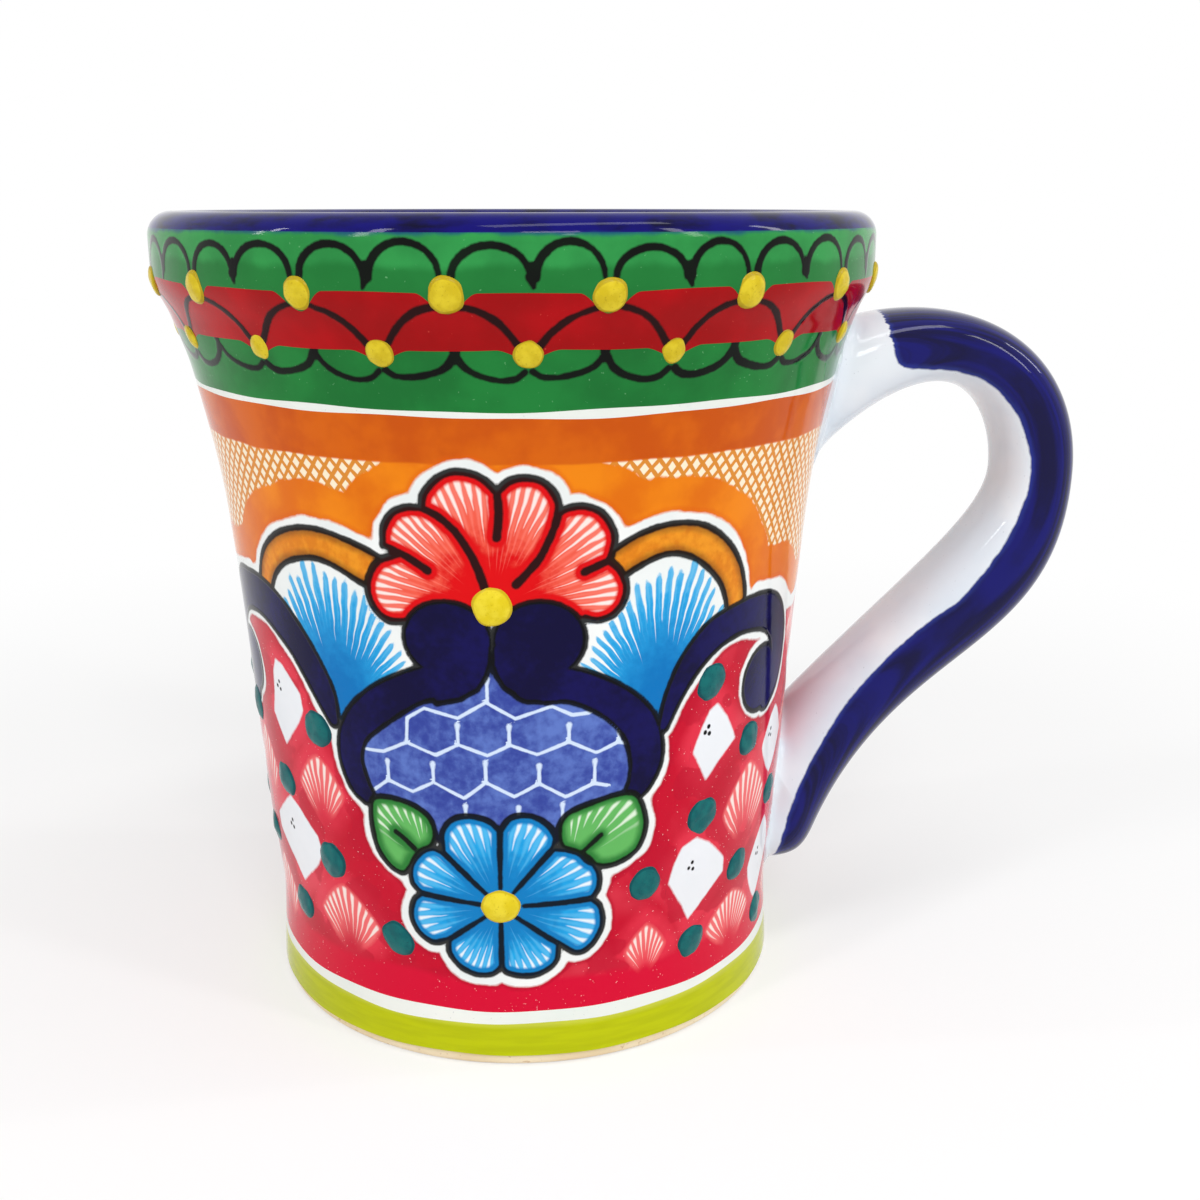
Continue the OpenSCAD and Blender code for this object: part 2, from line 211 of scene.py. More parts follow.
def new_material(name):
    """An empty material, its node tree as a value, and the places on the object that patterns follow."""
    made = bpy.data.materials.new(name)
    made.use_nodes = True
    made.node_tree.nodes.clear()
    v = Value(made.node_tree)
    return made, v, v.node("ShaderNodeTexCoord", out="Object")


def noise(v, place, scale, detail=2.0):
    return v.node("ShaderNodeTexNoise", {}, {"Vector": place, "Scale": scale, "Detail": detail})


def stretched(v, place, rise):
    """Places drawn out or squeezed in height, so that a pattern on them runs around the cup."""
    return v.node("ShaderNodeVectorMath", {"operation": "MULTIPLY"}, {0: place, 1: (1.0, 1.0, rise)})


def mixed(v, share, first, second):
    return v.node("ShaderNodeMix", {"data_type": "RGBA"}, {0: share, 6: first, 7: second}, 2)


def ramped(v, value, low, high):
    """0 below low and 1 above high, with an easy curve between."""
    sockets = {0: value, 1: low, 2: high, 3: 0.0, 4: 1.0}
    return v.node("ShaderNodeMapRange", {"interpolation_type": "SMOOTHSTEP"}, sockets)


def washed(v, value, low, high, first, second):
    """One colour where a value is below low, and another where it is above high."""
    return mixed(v, ramped(v, value, low, high), tint(first), tint(second))


def surface(v, colour, roughness, height=None, depth=0.1, specular=0.12):
    """Ends a material: depth is how far its relief stands out, in millimetres."""
    sockets = {"Base Color": colour, "Roughness": roughness, "Specular IOR Level": specular}
    if height is not None:
        relief = {"Height": height, "Distance": depth * MM, "Strength": 1.0}
        sockets["Normal"] = v.node("ShaderNodeBump", {}, relief)
    shader = v.node("ShaderNodeBsdfPrincipled", {}, sockets)
    v.node("ShaderNodeOutputMaterial", {}, {"Surface": shader})


def bare_clay():
    made, v, place = new_material("bare_clay")
    grain = noise(v, place, 1400.0, 4.0)
    cloud = noise(v, place, 90.0, 3.0)
    sideways = v.node("ShaderNodeSeparateXYZ", {}, {0: place}, 0)
    flat = stretched(v, place, 0.0)
    radius = v.node("ShaderNodeVectorMath", {"operation": "LENGTH"}, {0: flat}, "Value")
    rings = v.math("SINE", radius * 5200.0 + cloud * 9.0 + sideways * 20.0)
    colour = washed(v, cloud, 0.35, 0.7, "E9D3B0", "F3E3C8")
    colour = mixed(v, ramped(v, grain, 0.62, 0.72) * 0.5, colour, tint("B98F66"))
    surface(v, colour, 0.75 + grain * 0.2, grain + rings * 0.35, 0.06)
    return made


foot_r = WALL_STATIONS[0, 1] - COAT
ring_r = WALL_STATIONS[0, 1] - FOOT_RING
clay_z = np.linspace(BARE_H, LIP_Z, 90)
edge_turn = np.radians(np.linspace(-90, 0, 7))
foot_round = np.stack([foot_r - FOOT_EDGE + FOOT_EDGE * np.cos(edge_turn),
                       FOOT_EDGE + FOOT_EDGE * np.sin(edge_turn)], axis=1)
clay_line = np.concatenate([
    [(0, FOOT_HOLLOW)], [(r, FOOT_HOLLOW) for r in np.linspace(4, ring_r - FOOT_HOLLOW, 10)], [(ring_r, 0.0)],
    foot_round, np.stack([wall_r(clay_z) - COAT, clay_z], axis=1),
    lip_line(0, 180, 24, COAT)[1:-1], inside_line(COAT)])
thrown_body = turned("thrown_body", clay_line, bare_clay())
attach(thrown_body, "root")
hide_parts("clay_body")

# Inner glaze: the white tin glaze poured into the cup, clouded with a faint blue.
# It runs up over the inside of the lip to the cobalt, with the slow waves of the dipped glaze in its relief.
RIM_COAT_Z = HEIGHT - 2.0
RIM_COAT_START = math.degrees(math.asin((RIM_COAT_Z - LIP_Z) / LIP_ROUND))
RIM_COAT_END = 155.0


def glaze_relief(v, place):
    """The slow waves of a hand-dipped glaze, as one height."""
    return noise(v, place, 55.0, 1.0) + noise(v, place, 420.0, 2.0) * 0.12


def white_glaze(name, pale, shade):
    made, v, place = new_material(name)
    cloud = noise(v, place, 70.0, 3.0)
    speck = noise(v, place, 2600.0, 1.0)
    colour = washed(v, cloud, 0.3, 0.7, pale, shade)
    colour = mixed(v, ramped(v, speck, 0.74, 0.78) * 0.35, colour, tint("9FA5AE"))
    surface(v, colour, 0.07 + cloud * 0.05, glaze_relief(v, place), 0.12)
    return made


inner_line = np.concatenate([lip_line(RIM_COAT_END, 180, 8, 0)[:-1], inside_line(0),
                             inside_line(COAT)[::-1], lip_line(RIM_COAT_END, 180, 8, COAT)[-2::-1]])
poured_inside = turned("poured_inside", inner_line, white_glaze("inner_white_glaze", "EDF0F1", "E2E8EC"))
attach(poured_inside, "root")
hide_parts("inner_glaze")

# Rim glaze: the cobalt band brushed over the rolled lip, nearly black where it pools.
# It runs a little into the green below it, and stops just inside the mouth.
EDGE_SWAY = 0.16
RIM_BLEED = (105.9, 106.6)


def painted_edge(turn, z, sway=EDGE_SWAY):
    """Height of a hand-banded edge around the cup, which drifts a little about its mean."""
    drift = np.sin(3 * turn + z) + 0.6 * np.sin(7 * turn + 2.3 * z) + 0.4 * np.sin(16 * turn + 4.1 * z)
    return z + sway * drift


def height_of(v, place):
    """Height above the table, in millimetres."""
    return v.node("ShaderNodeSeparateXYZ", {}, {0: place}, 2) * (1 / MM)


def rim_cobalt():
    made, v, place = new_material("rim_cobalt")
    cloud = noise(v, place, 160.0, 4.0)
    brush_marks = noise(v, stretched(v, place, 6.0), 260.0, 3.0)
    cobalt = washed(v, cloud * 0.6 + brush_marks * 0.4, 0.34, 0.6, "040128", "0B0668")
    bleed = ramped(v, height_of(v, place) + noise(v, place, 300.0, 3.0) * 0.9, *RIM_BLEED)
    colour = mixed(v, bleed, tint("14506B"), cobalt)
    surface(v, colour, 0.04 + noise(v, place, 200.0) * 0.04, glaze_relief(v, place), 0.08)
    return made


rim_line = np.concatenate([lip_line(RIM_COAT_START, RIM_COAT_END, 28, 0),
                           lip_line(RIM_COAT_START, RIM_COAT_END, 28, COAT)[::-1]])
rim_coat = turned("rim_coat", rim_line, rim_cobalt())
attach(rim_coat, "root")
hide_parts("rim_glaze")

# Upper green band: a copper green wash under the rim, with a row of black brush arches.
# Two arches stand on each yellow dot's pitch, and their stems run down to the red.
GREEN_Z = 100.05
GREEN_LAP = 0.1
GREEN_DIP, GREEN_DIP_HALF = 2.2, 3.3
BAND_TURNS = 1080
BORDER_DOTS = 17
PITCH = 2 * math.pi / BORDER_DOTS
DOT_SWAY = math.radians(0.8)
UPPER_DOT_TURN = math.radians(-9.2)
BORDER_R = 46.5
ARCH_TOP_Z = 104.75
ARCH_FOOT_Z = 101.4
ARCH_W = 0.8
ARCH_INSET = 0.6
ARCH_GAP = 0.25
STEM_Z = (102.7, 101.5, 100.5)
STEM_W = (0.9, 1.3, 0.5)
FAR = 9.0
INK_REACH = 2.0


def swayed(turn):
    """Where a mark of an even row really stands, because the painter's spacing drifts at the sides."""
    return turn - DOT_SWAY * np.sin(turn)


def curve(points, closed=False, steps=6):
    """A smooth line through points, with whatever they carry beside their place."""
    p = np.asarray(points, float)
    if closed:
        p = np.concatenate([p[-1:], p, p[:2]])
    else:
        p = np.concatenate([2 * p[:1] - p[1:2], p, 2 * p[-1:] - p[-2:-1]])
    a, b, c, d = p[:-3, None], p[1:-2, None], p[2:-1, None], p[3:, None]
    t = np.linspace(0, 1, steps, endpoint=False)[None, :, None]
    line = 2 * b + (c - a) * t + (2 * a - 5 * b + 4 * c - d) * t ** 2 + (3 * b - a - 3 * c + d) * t ** 3
    line = 0.5 * line.reshape(-1, p.shape[1])
    return line if closed else np.concatenate([line, p[-2:-1]])


def part_way(a, b, share):
    """A value or a point that lies a share of the way from a to b."""
    return np.asarray(a, float) + (np.asarray(b, float) - np.asarray(a, float)) * share


def off_stretch(x, y, start, end):
    """Distance of places from a straight stretch, and the share of the way along it that is nearest."""
    (ax, ay), (bx, by) = start, end
    dx, dy = bx - ax, by - ay
    t = np.clip(((x - ax) * dx + (y - ay) * dy) / max(dx * dx + dy * dy, 1e-9), 0, 1)
    return np.hypot(x - ax - t * dx, y - ay - t * dy), t


class Painting:
    """Brushwork on places that lie across and up. A layer holds the distance in millimetres to the edge
    of its paint, negative where the paint lies. On an unrolled wall the places stand in even columns."""

    def __init__(self, across, up, unrolled=True):
        self.across = across
        self.up = up
        self.unrolled = unrolled
        self.layers = {}

    def layer(self, name):
        return self.layers.setdefault(name, np.full(self.across.shape, FAR))

    def columns_near(self, points, reach):
        """The columns that a mark can touch."""
        if not self.unrolled:
            return slice(None)
        ends = [np.min(points[:, 0]) - reach, np.max(points[:, 0]) + reach]
        return slice(*np.searchsorted(self.across[:, 0], ends))

    def stroke(self, name, points, width=None, reach=FAR):
        """A brush line through points. Each point carries its own width, unless one is given for all."""
        line = np.asarray(points, float)
        widths = line[:, 2] if width is None else np.broadcast_to(np.asarray(width, float), len(line))
        near = self.columns_near(line, reach)
        x, y = self.across[near], self.up[near]
        best = self.layer(name)[near]
        for a, b, a_width, b_width in zip(line[:-1, :2], line[1:, :2], widths[:-1], widths[1:]):
            gap, t = off_stretch(x, y, a, b)
            best = np.minimum(best, gap - (a_width + (b_width - a_width) * t) / 2)
        self.layer(name)[near] = best

    def hair(self, name, points):
        """A fine line through points. Its side layer has a sign, so that a mesh carries it without breaks."""
        line = np.asarray(points, float)
        near = self.columns_near(line, FAR)
        x, y = self.across[near], self.up[near]
        best, side = self.layer(name)[near], self.layer(name + "_side")[near]
        for a, b in zip(line[:-1], line[1:]):
            gap, _ = off_stretch(x, y, a, b)
            dx, dy = b - a
            side = np.where(gap < best, gap * np.sign((x - a[0]) * dy - (y - a[1]) * dx), side)
            best = np.minimum(best, gap)
        self.layer(name)[near] = best
        self.layer(name + "_side")[near] = side

    def fill(self, name, points, reach=FAR):
        """Paint inside a closed line of points."""
        line = np.asarray(points, float)[:, :2]
        near = self.columns_near(line, reach)
        x, y = self.across[near], self.up[near]
        gap = np.full(x.shape, np.inf)
        inside = np.zeros(x.shape, bool)
        for (ax, ay), (bx, by) in zip(line, np.roll(line, -1, axis=0)):
            dx, dy = bx - ax, by - ay
            gap = np.minimum(gap, off_stretch(x, y, (ax, ay), (bx, by))[0])
            crossing = (ay > y) != (by > y)
            inside ^= crossing & (x < ax + (y - ay) * dx / (dy if abs(dy) > 1e-9 else 1e-9))
        self.layer(name)[near] = np.minimum(self.layer(name)[near], np.where(inside, -gap, gap))


def coat(name, turns, low, high, rows, material, back_rows=4, ring=True):
    """A coat of glaze on the wall between two painted edges, closed behind on the clay.
    Gives the piece, and the turns and heights of its outer face."""
    columns = len(turns)
    share = np.linspace(0, 1, rows + 1)
    turn = np.repeat(turns[:, None], rows + 1, axis=1)
    z = low[:, None] + (high - low)[:, None] * share
    outer = at_turn(turn, wall_r(z), z)
    back_z = low[:, None] + (high - low)[:, None] * np.linspace(0, 1, back_rows + 1)
    back = at_turn(turns[:, None], wall_r(back_z) - COAT, back_z)
    front_spot = np.arange(columns * (rows + 1)).reshape(columns, rows + 1)
    back_spot = front_spot.size + np.arange(columns * (back_rows + 1)).reshape(columns, back_rows + 1)
    if ring:
        front_spot = np.concatenate([front_spot, front_spot[:1]])
        back_spot = np.concatenate([back_spot, back_spot[:1]])

    def quads(a, b, c, d):
        return np.stack([a, b, c, d], axis=-1).reshape(-1, 4).tolist()

    f, b = front_spot, back_spot
    faces = quads(f[:-1, :-1], f[1:, :-1], f[1:, 1:], f[:-1, 1:])
    faces += quads(b[:-1, :-1], b[:-1, 1:], b[1:, 1:], b[1:, :-1])
    faces += quads(f[1:, 0], f[:-1, 0], b[:-1, 0], b[1:, 0])
    faces += quads(f[:-1, -1], f[1:, -1], b[1:, -1], b[:-1, -1])
    if not ring:
        faces.append(f[0].tolist() + b[0, ::-1].tolist())
        faces.append(f[-1, ::-1].tolist() + b[-1].tolist())
    points = np.concatenate([outer.reshape(-1, 3), back.reshape(-1, 3)])
    return new_piece(name, points, faces, material), turn, z


def keep_layers(piece, layers):
    """Stores a painting's layers on the outer face of a coat, as attributes that its material reads."""
    count = len(piece.data.vertices)
    for name, values in layers.items():
        flat = np.zeros(count, np.float32)
        flat[:values.size] = values.ravel()
        piece.data.attributes.new(name, "FLOAT", "POINT").data.foreach_set("value", flat)


def painted(v, name):
    """A painting's layer in its material."""
    return v.node("ShaderNodeAttribute", {"attribute_name": name}, out="Fac")


def covered(v, distance, soft):
    """How much of a place the paint covers, from the distance to its edge and the edge's softness."""
    return v.math("MULTIPLY_ADD", distance, -1 / soft, 0.5, clamp=True)


def hand_shake(v, place):
    """How far a brush edge strays, in millimetres."""
    return (noise(v, place, 420.0, 2.0) - 0.5) * 0.5 + (noise(v, place, 1900.0, 2.0) - 0.5) * 0.22


def border_cells(first):
    """Turns of the marks of a border row and their numbers, with more past each end of the unrolled wall."""
    steps = range(-BORDER_DOTS // 2 - 2, BORDER_DOTS // 2 + 3)
    return [(float(swayed(first + i * PITCH)), i % BORDER_DOTS) for i in steps]


def by_hand(seed, count):
    """How far the strokes of each mark of a border row stray, from -1 to 1."""
    return np.random.default_rng(seed).uniform(-1, 1, (BORDER_DOTS, count))


def dipped_edge(turn, z, first, depth, half):
    """Height of a banded edge that dips beside the dots of a border row."""
    away = np.min([np.abs(turn - cell) for cell, _ in border_cells(first)], axis=0) * BORDER_R
    near = np.clip(1 - away / half, 0, 1)
    return painted_edge(turn, z) - depth * near * near * (3 - 2 * near)


def arch(x0, x1, foot_z, top_z):
    """A brush arch between two feet, as the points of a half oval."""
    turn = np.linspace(math.pi, 0, 15)
    mid, half = (x0 + x1) / 2, (x1 - x0) / 2
    return np.stack([mid + half * np.cos(turn), foot_z + (top_z - foot_z) * np.sin(turn)], axis=1)


def green_glaze(name, wash, deep, split_z, bleed_z):
    """Green wash with black brush lines, deeper below split_z and touched by cobalt above bleed_z."""
    made, v, place = new_material(name)
    height = height_of(v, place)
    cloud = noise(v, place, 130.0, 4.0)
    speck = noise(v, place, 2400.0, 1.0)
    colour = washed(v, cloud, 0.35, 0.65, wash, deep)
    lower = ramped(v, split_z - height + (cloud - 0.5) * 2.4, -0.6, 0.6)
    colour = mixed(v, lower * 0.7, colour, tint("146A2A"))
    colour = mixed(v, ramped(v, speck, 0.74, 0.8) * 0.35, colour, tint("8FD39A"))
    bleed = ramped(v, height + (noise(v, place, 260.0, 4.0) - 0.5) * 1.2, bleed_z, bleed_z + 0.7)
    colour = mixed(v, bleed, colour, tint("14506B"))
    line = painted(v, "ink") + hand_shake(v, place) * 0.6
    colour = mixed(v, covered(v, line, 0.22) * (0.93 + cloud * 0.12), colour, tint("020402"))
    surface(v, colour, 0.07 + cloud * 0.05, glaze_relief(v, place) + covered(v, line, 0.6) * 0.25, 0.12)
    return made


turns = np.linspace(-math.pi, math.pi, BAND_TURNS, endpoint=False)
green_edge = dipped_edge(turns, GREEN_Z - GREEN_LAP, UPPER_DOT_TURN, GREEN_DIP, GREEN_DIP_HALF)
upper_green, turn, z = coat("arched_green", turns, green_edge, np.full(BAND_TURNS, RIM_COAT_Z), 24,
                            green_glaze("upper_green_glaze", "2F9448", "27843F", 102.6, 105.5))
brush = Painting(turn * BORDER_R, z)
stray = by_hand(4, 6)
cells = border_cells(UPPER_DOT_TURN)
for (start, number), (end, _) in zip(cells[:-1], cells[1:]):
    lean = stray[number]
    left, right = start * BORDER_R + ARCH_INSET, end * BORDER_R - ARCH_INSET
    middle = (left + right) / 2 + 0.5 * lean[0]
    for x0, x1, rise in ((left, middle - ARCH_GAP, lean[1]), (middle + ARCH_GAP, right, lean[2])):
        line = arch(x0, x1, ARCH_FOOT_Z, ARCH_TOP_Z + 0.4 * rise)
        width = ARCH_W * np.linspace(1.15 + 0.25 * rise, 0.95 - 0.25 * rise, len(line))
        brush.stroke("ink", line, width, INK_REACH)
    stem_x = (middle, middle + 0.2 * lean[3], middle + 0.4 * lean[4])
    stem_z = (*STEM_Z[:2], STEM_Z[2] + 0.3 * lean[5])
    brush.stroke("ink", list(zip(stem_x, stem_z)), STEM_W, INK_REACH)
keep_layers(upper_green, brush.layers)
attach(upper_green, "root")
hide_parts("upper_green_band")

# Red band: an iron red stripe between the greens, with black brush lines that hang
# from each upper yellow dot like swags and come down at the lower dots.
RED_Z = 93.7
RED_DIP, RED_DIP_HALF = 1.1, 3.7
LOWER_DOT_TURN = math.radians(1.4)
YELLOW_DROP = 0.5
SWAG = [(0.14, 0.18), (0.38, 0.28), (0.57, 0.43), (0.72, 0.62), (0.84, 0.83), (0.95, 0.97)]
SWAG_W = 0.85


def red_glaze():
    made, v, place = new_material("red_glaze")
    cloud = noise(v, place, 110.0, 4.0)
    speck = noise(v, place, 2200.0, 1.0)
    colour = washed(v, cloud, 0.35, 0.68, "9C0004", "B4000A")
    colour = mixed(v, ramped(v, speck, 0.75, 0.8) * 0.35, colour, tint("E0604E"))
    line = painted(v, "ink") + hand_shake(v, place) * 0.6
    colour = mixed(v, covered(v, line, 0.22) * 0.96, colour, tint("060002"))
    surface(v, colour, 0.07 + cloud * 0.05, glaze_relief(v, place) + covered(v, line, 0.6) * 0.25, 0.12)
    return made


red_edge = dipped_edge(turns, RED_Z, LOWER_DOT_TURN, RED_DIP, RED_DIP_HALF)
red_swags, turn, z = coat("red_swags", turns, red_edge, green_edge, 24, red_glaze())
brush = Painting(turn * BORDER_R, z)
stray = by_hand(8, 4)
for top, number in border_cells(UPPER_DOT_TURN):
    for side, lean in ((-1, stray[number, :2]), (1, stray[number, 2:])):
        share, fall = curve(SWAG).T
        fall = fall + 0.06 * lean[0] * np.sin(share * math.pi)
        x = (top + side * share * PITCH / 2) * BORDER_R
        swag = np.stack([x, part_way(GREEN_Z, RED_Z, fall) - YELLOW_DROP], axis=1)
        width = np.linspace(0.9 + 0.2 * lean[1], 1.1 - 0.2 * lean[1], len(share))
        brush.stroke("ink", swag, SWAG_W * width, INK_REACH)
keep_layers(red_swags, brush.layers)
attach(red_swags, "root")
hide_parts("red_band")

# Lower green band: the same green wash under the red, with a row of hanging black scallops
# that meet in cusps between the lower yellow dots.
NECK_LINE_Z = 86.95
SCALLOP = [(0.02, 92.9, 1.05), (0.14, 91.7, 0.9), (0.34, 90.9, 0.8), (0.6, 90.45, 0.75), (0.82, 90.6, 0.8),
           (0.95, 91.3, 0.9)]
CUSP_Z = (93.9, 92.6)
CUSP_W = (1.3, 1.0)
lower_green, turn, z = coat("scalloped_green", turns, painted_edge(turns, NECK_LINE_Z), red_edge, 26,
                            green_glaze("lower_green_glaze", "1C7E36", "166E2E", 60.0, 200.0))
brush = Painting(turn * BORDER_R, z)
stray = by_hand(15, 7)
cells = border_cells(LOWER_DOT_TURN)
for (start, number), (end, _) in zip(cells[:-1], cells[1:]):
    lean = stray[number]
    left, right = start * BORDER_R, end * BORDER_R
    middle = (left + right) / 2 + 0.5 * lean[0]
    for dot, drop, swell in ((left, lean[1], lean[2]), (right, lean[3], lean[4])):
        line = []
        for share, height, width in SCALLOP:
            sag = 0.35 * drop * math.sin(share * math.pi)
            line.append((middle + (dot - middle) * share, height + sag, width * (1 + 0.2 * swell)))
        brush.stroke("ink", curve(line), None, INK_REACH)
    cusp_x = (middle + 0.2 * lean[5], middle)
    brush.stroke("ink", list(zip(cusp_x, CUSP_Z)), CUSP_W, INK_REACH)
keep_layers(lower_green, brush.layers)
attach(lower_green, "root")
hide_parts("lower_green_band")

# White lines: the bare tin glaze left between two banded colours, one under the border
# and a wider one over the foot band.
PANEL_TOP_Z = 86.15
PANEL_LOW_Z = 7.85
FOOT_BAND_Z = 6.2
line_white = white_glaze("line_white_glaze", "EEF0EA", "E4EAE4")
for name, low, high, rows in (("white_neck_line", PANEL_TOP_Z, NECK_LINE_Z, 4),
                              ("white_foot_line", FOOT_BAND_Z, PANEL_LOW_Z, 5)):
    line, _, _ = coat(name, turns, painted_edge(turns, low), painted_edge(turns, high), rows, line_white)
    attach(line, "root")
    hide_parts("white_lines")

# Foot band: a yellow-olive stripe banded on the wheel just above the bare foot.
# It thins to a paler yellow at its upper edge, and leaves the clay below it bare.
BARE_LAP = 0.1
BARE_SWAY = 0.1
THIN_EDGE = (5.3, 6.3)


def olive_glaze():
    made, v, place = new_material("olive_glaze")
    brush_marks = noise(v, stretched(v, place, 9.0), 120.0, 4.0)
    height = height_of(v, place)
    colour = washed(v, brush_marks, 0.35, 0.65, "B2BA00", "BCC400")
    colour = mixed(v, ramped(v, height, *THIN_EDGE) * 0.5, colour, tint("D2D45E"))
    surface(v, colour, 0.08 + brush_marks * 0.05, glaze_relief(v, place), 0.12)
    return made


olive_foot, _, _ = coat("olive_foot", turns, painted_edge(turns, BARE_H + BARE_LAP, BARE_SWAY),
                        painted_edge(turns, FOOT_BAND_Z), 12, olive_glaze())
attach(olive_foot, "root")
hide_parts("foot_band")

# Flower panels: the painted front of the cup, repeated on its back. A red flower and two yellow arcs
# stand over blue fans and cobalt scrolls, which frame a honeycomb shield, two leaves and a blue flower.
# Orange wash with a cross-hatched net lies above, and a crimson lattice of diamonds below.
PANEL_TURN = -5.1
PANEL_TURN_LOW = math.radians(PANEL_TURN - 90)
PANEL_COLUMNS = 384
PANEL_ROWS = 240
UNROLLED_R = 40.0
LINE_REACH = 3.0
DIAMOND = 1.3
FIELD_LEFT, FIELD_RIGHT = -70.0, 64.0
GROUND_MARGINS = {"red": 1.4, "arc": 1.4, "cobalt": 1.0, "blue": 1.4, "leaf": 1.1, "shield": 0.0, "fan": 2.2}
GROUND_BLEND = 0.9
NET_PITCH, NET_SLOPE = 3.7, 0.8
ORANGE_STRIPE_Z = (80.9, 80.5)
LOW_CRIMSON_Z = (13.2, 11.8)
RED_FLOWER = (-3.5, 63.5)
RED_RIMS = [
    [(-14.6, 69.6), (-17.2, 68.5), (-18.7, 66.4), (-19.0, 64.2), (-18.1, 62.2), (-16.4, 61.1), (-14.3, 61.2)],
    [(-11.2, 75.4), (-13.0, 75.4), (-14.9, 74.5), (-16.1, 72.7), (-16.4, 70.5)],
    [(-11.2, 75.4), (-10.8, 77.1), (-9.4, 78.8), (-7.6, 79.8), (-5.8, 79.8), (-4.1, 79.1), (-2.6, 77.5)],
    [(-2.6, 77.5), (-1.4, 78.7), (0.3, 79.2), (2.3, 78.7), (3.7, 77.2), (4.2, 75.5), (3.8, 73.4)],
    [(4.1, 75.0), (5.4, 75.5), (7.0, 75.6), (8.8, 74.9), (10.1, 73.4), (10.8, 71.4), (10.3, 68.8)],
    [(10.3, 68.8), (11.7, 67.3), (12.5, 65.3), (12.1, 63.3), (10.8, 61.9), (9.0, 61.4), (7.4, 61.8)]]
RED_CLEFTS = [
    [(-16.4, 70.6), (-13.4, 69.3), (-11.0, 67.8)],
    [(-11.2, 75.4), (-9.4, 74.5), (-7.6, 72.8), (-6.2, 70.6), (-5.1, 68.2), (-4.4, 66.0)],
    [(-2.6, 77.5), (-2.5, 74.8), (-2.8, 72.0)],
    [(3.8, 73.4), (3.1, 71.6), (2.2, 69.7), (0.8, 67.9), (-0.7, 66.3)],
    [(10.3, 68.8), (8.8, 68.2), (7.3, 67.6)]]
BLUE_FLOWER = (-3.6, 23.4)
BLUE_RIMS = [
    [(-3.4, 34.2), (-2.0, 36.0), (0.3, 36.3), (2.6, 35.2), (3.9, 33.2), (3.6, 31.6)],
    [(3.6, 31.6), (5.8, 31.2), (8.2, 29.9), (9.8, 27.6), (9.9, 25.4), (9.0, 23.9)],
    [(9.0, 23.9), (10.3, 22.4), (10.6, 19.6), (9.2, 17.0), (7.0, 16.0), (4.4, 17.6)],
    [(4.4, 17.6), (4.0, 15.0), (1.8, 13.4), (-0.8, 13.1), (-3.0, 13.6), (-3.7, 14.4)],
    [(-3.7, 14.4), (-5.2, 13.3), (-7.6, 13.2), (-9.8, 14.2), (-11.2, 16.0), (-11.2, 18.0)],
    [(-11.2, 18.0), (-13.6, 17.3), (-15.8, 18.7), (-16.6, 20.9), (-16.0, 23.2), (-14.8, 24.5)],
    [(-14.8, 24.5), (-16.0, 26.0), (-15.9, 28.2), (-14.6, 30.2), (-12.8, 31.2), (-11.2, 30.8)],
    [(-11.2, 30.8), (-11.2, 33.4), (-9.8, 35.4), (-7.6, 36.1), (-5.0, 35.6), (-3.4, 34.2)]]
LEAVES = [
    [(-21.0, 37.0), (-18.3, 37.5), (-15.2, 37.0), (-12.9, 35.6), (-12.1, 33.5), (-12.6, 31.6),
     (-14.5, 30.4), (-16.0, 28.2), (-17.2, 27.0), (-19.1, 27.6), (-20.8, 29.5), (-21.5, 32.0),
     (-21.6, 35.0)],
    [(4.3, 33.6), (4.6, 35.3), (6.0, 36.6), (8.8, 37.5), (12.4, 38.2), (14.8, 37.8), (16.1, 35.5),
     (16.5, 32.8), (15.5, 30.1), (13.2, 28.7), (10.6, 28.3), (8.6, 29.1), (7.0, 30.6), (4.8, 31.7)]]
LEAF_VEINS = [[(-15.2, 30.8), (-16.5, 31.9), (-17.9, 32.8)], [(7.5, 30.7), (8.9, 31.9), (10.0, 32.8)]]
LEAF_ROOTS = [(-13.6, 29.2), (5.6, 29.0)]
LEAF_HALF = 14
ARCS = [
    [(-38.3, 62.3, 3.2), (-36.6, 65.3, 3.6), (-33.6, 67.7, 3.7), (-30.0, 69.1, 3.8), (-26.5, 69.6, 3.8),
     (-23.2, 69.1, 4.0), (-19.6, 67.8, 4.4), (-17.0, 66.6, 4.2)],
    [(10.4, 67.8, 3.6), (14.6, 70.0, 3.7), (18.3, 70.7, 3.7), (22.0, 69.9, 4.1), (25.4, 67.7, 4.2),
     (27.9, 65.0, 4.0), (29.2, 62.3, 3.8), (29.7, 60.2, 3.5)]]
FANS = [
    ((-24.8, 48.2), [(-34.0, 61.6), (-32.2, 64.2), (-29.2, 66.1), (-25.4, 66.7), (-21.6, 65.8), (-18.4, 63.2),
                     (-16.2, 59.6), (-15.0, 55.8)]),
    ((17.6, 48.8), [(8.2, 56.8), (8.8, 59.8), (11.2, 62.4), (13.6, 65.2), (16.5, 67.2), (19.6, 67.6),
                    (22.6, 66.3), (25.0, 64.0), (26.2, 61.2)])]
FAN_FINGERS = 16
FAN_HALF = 20
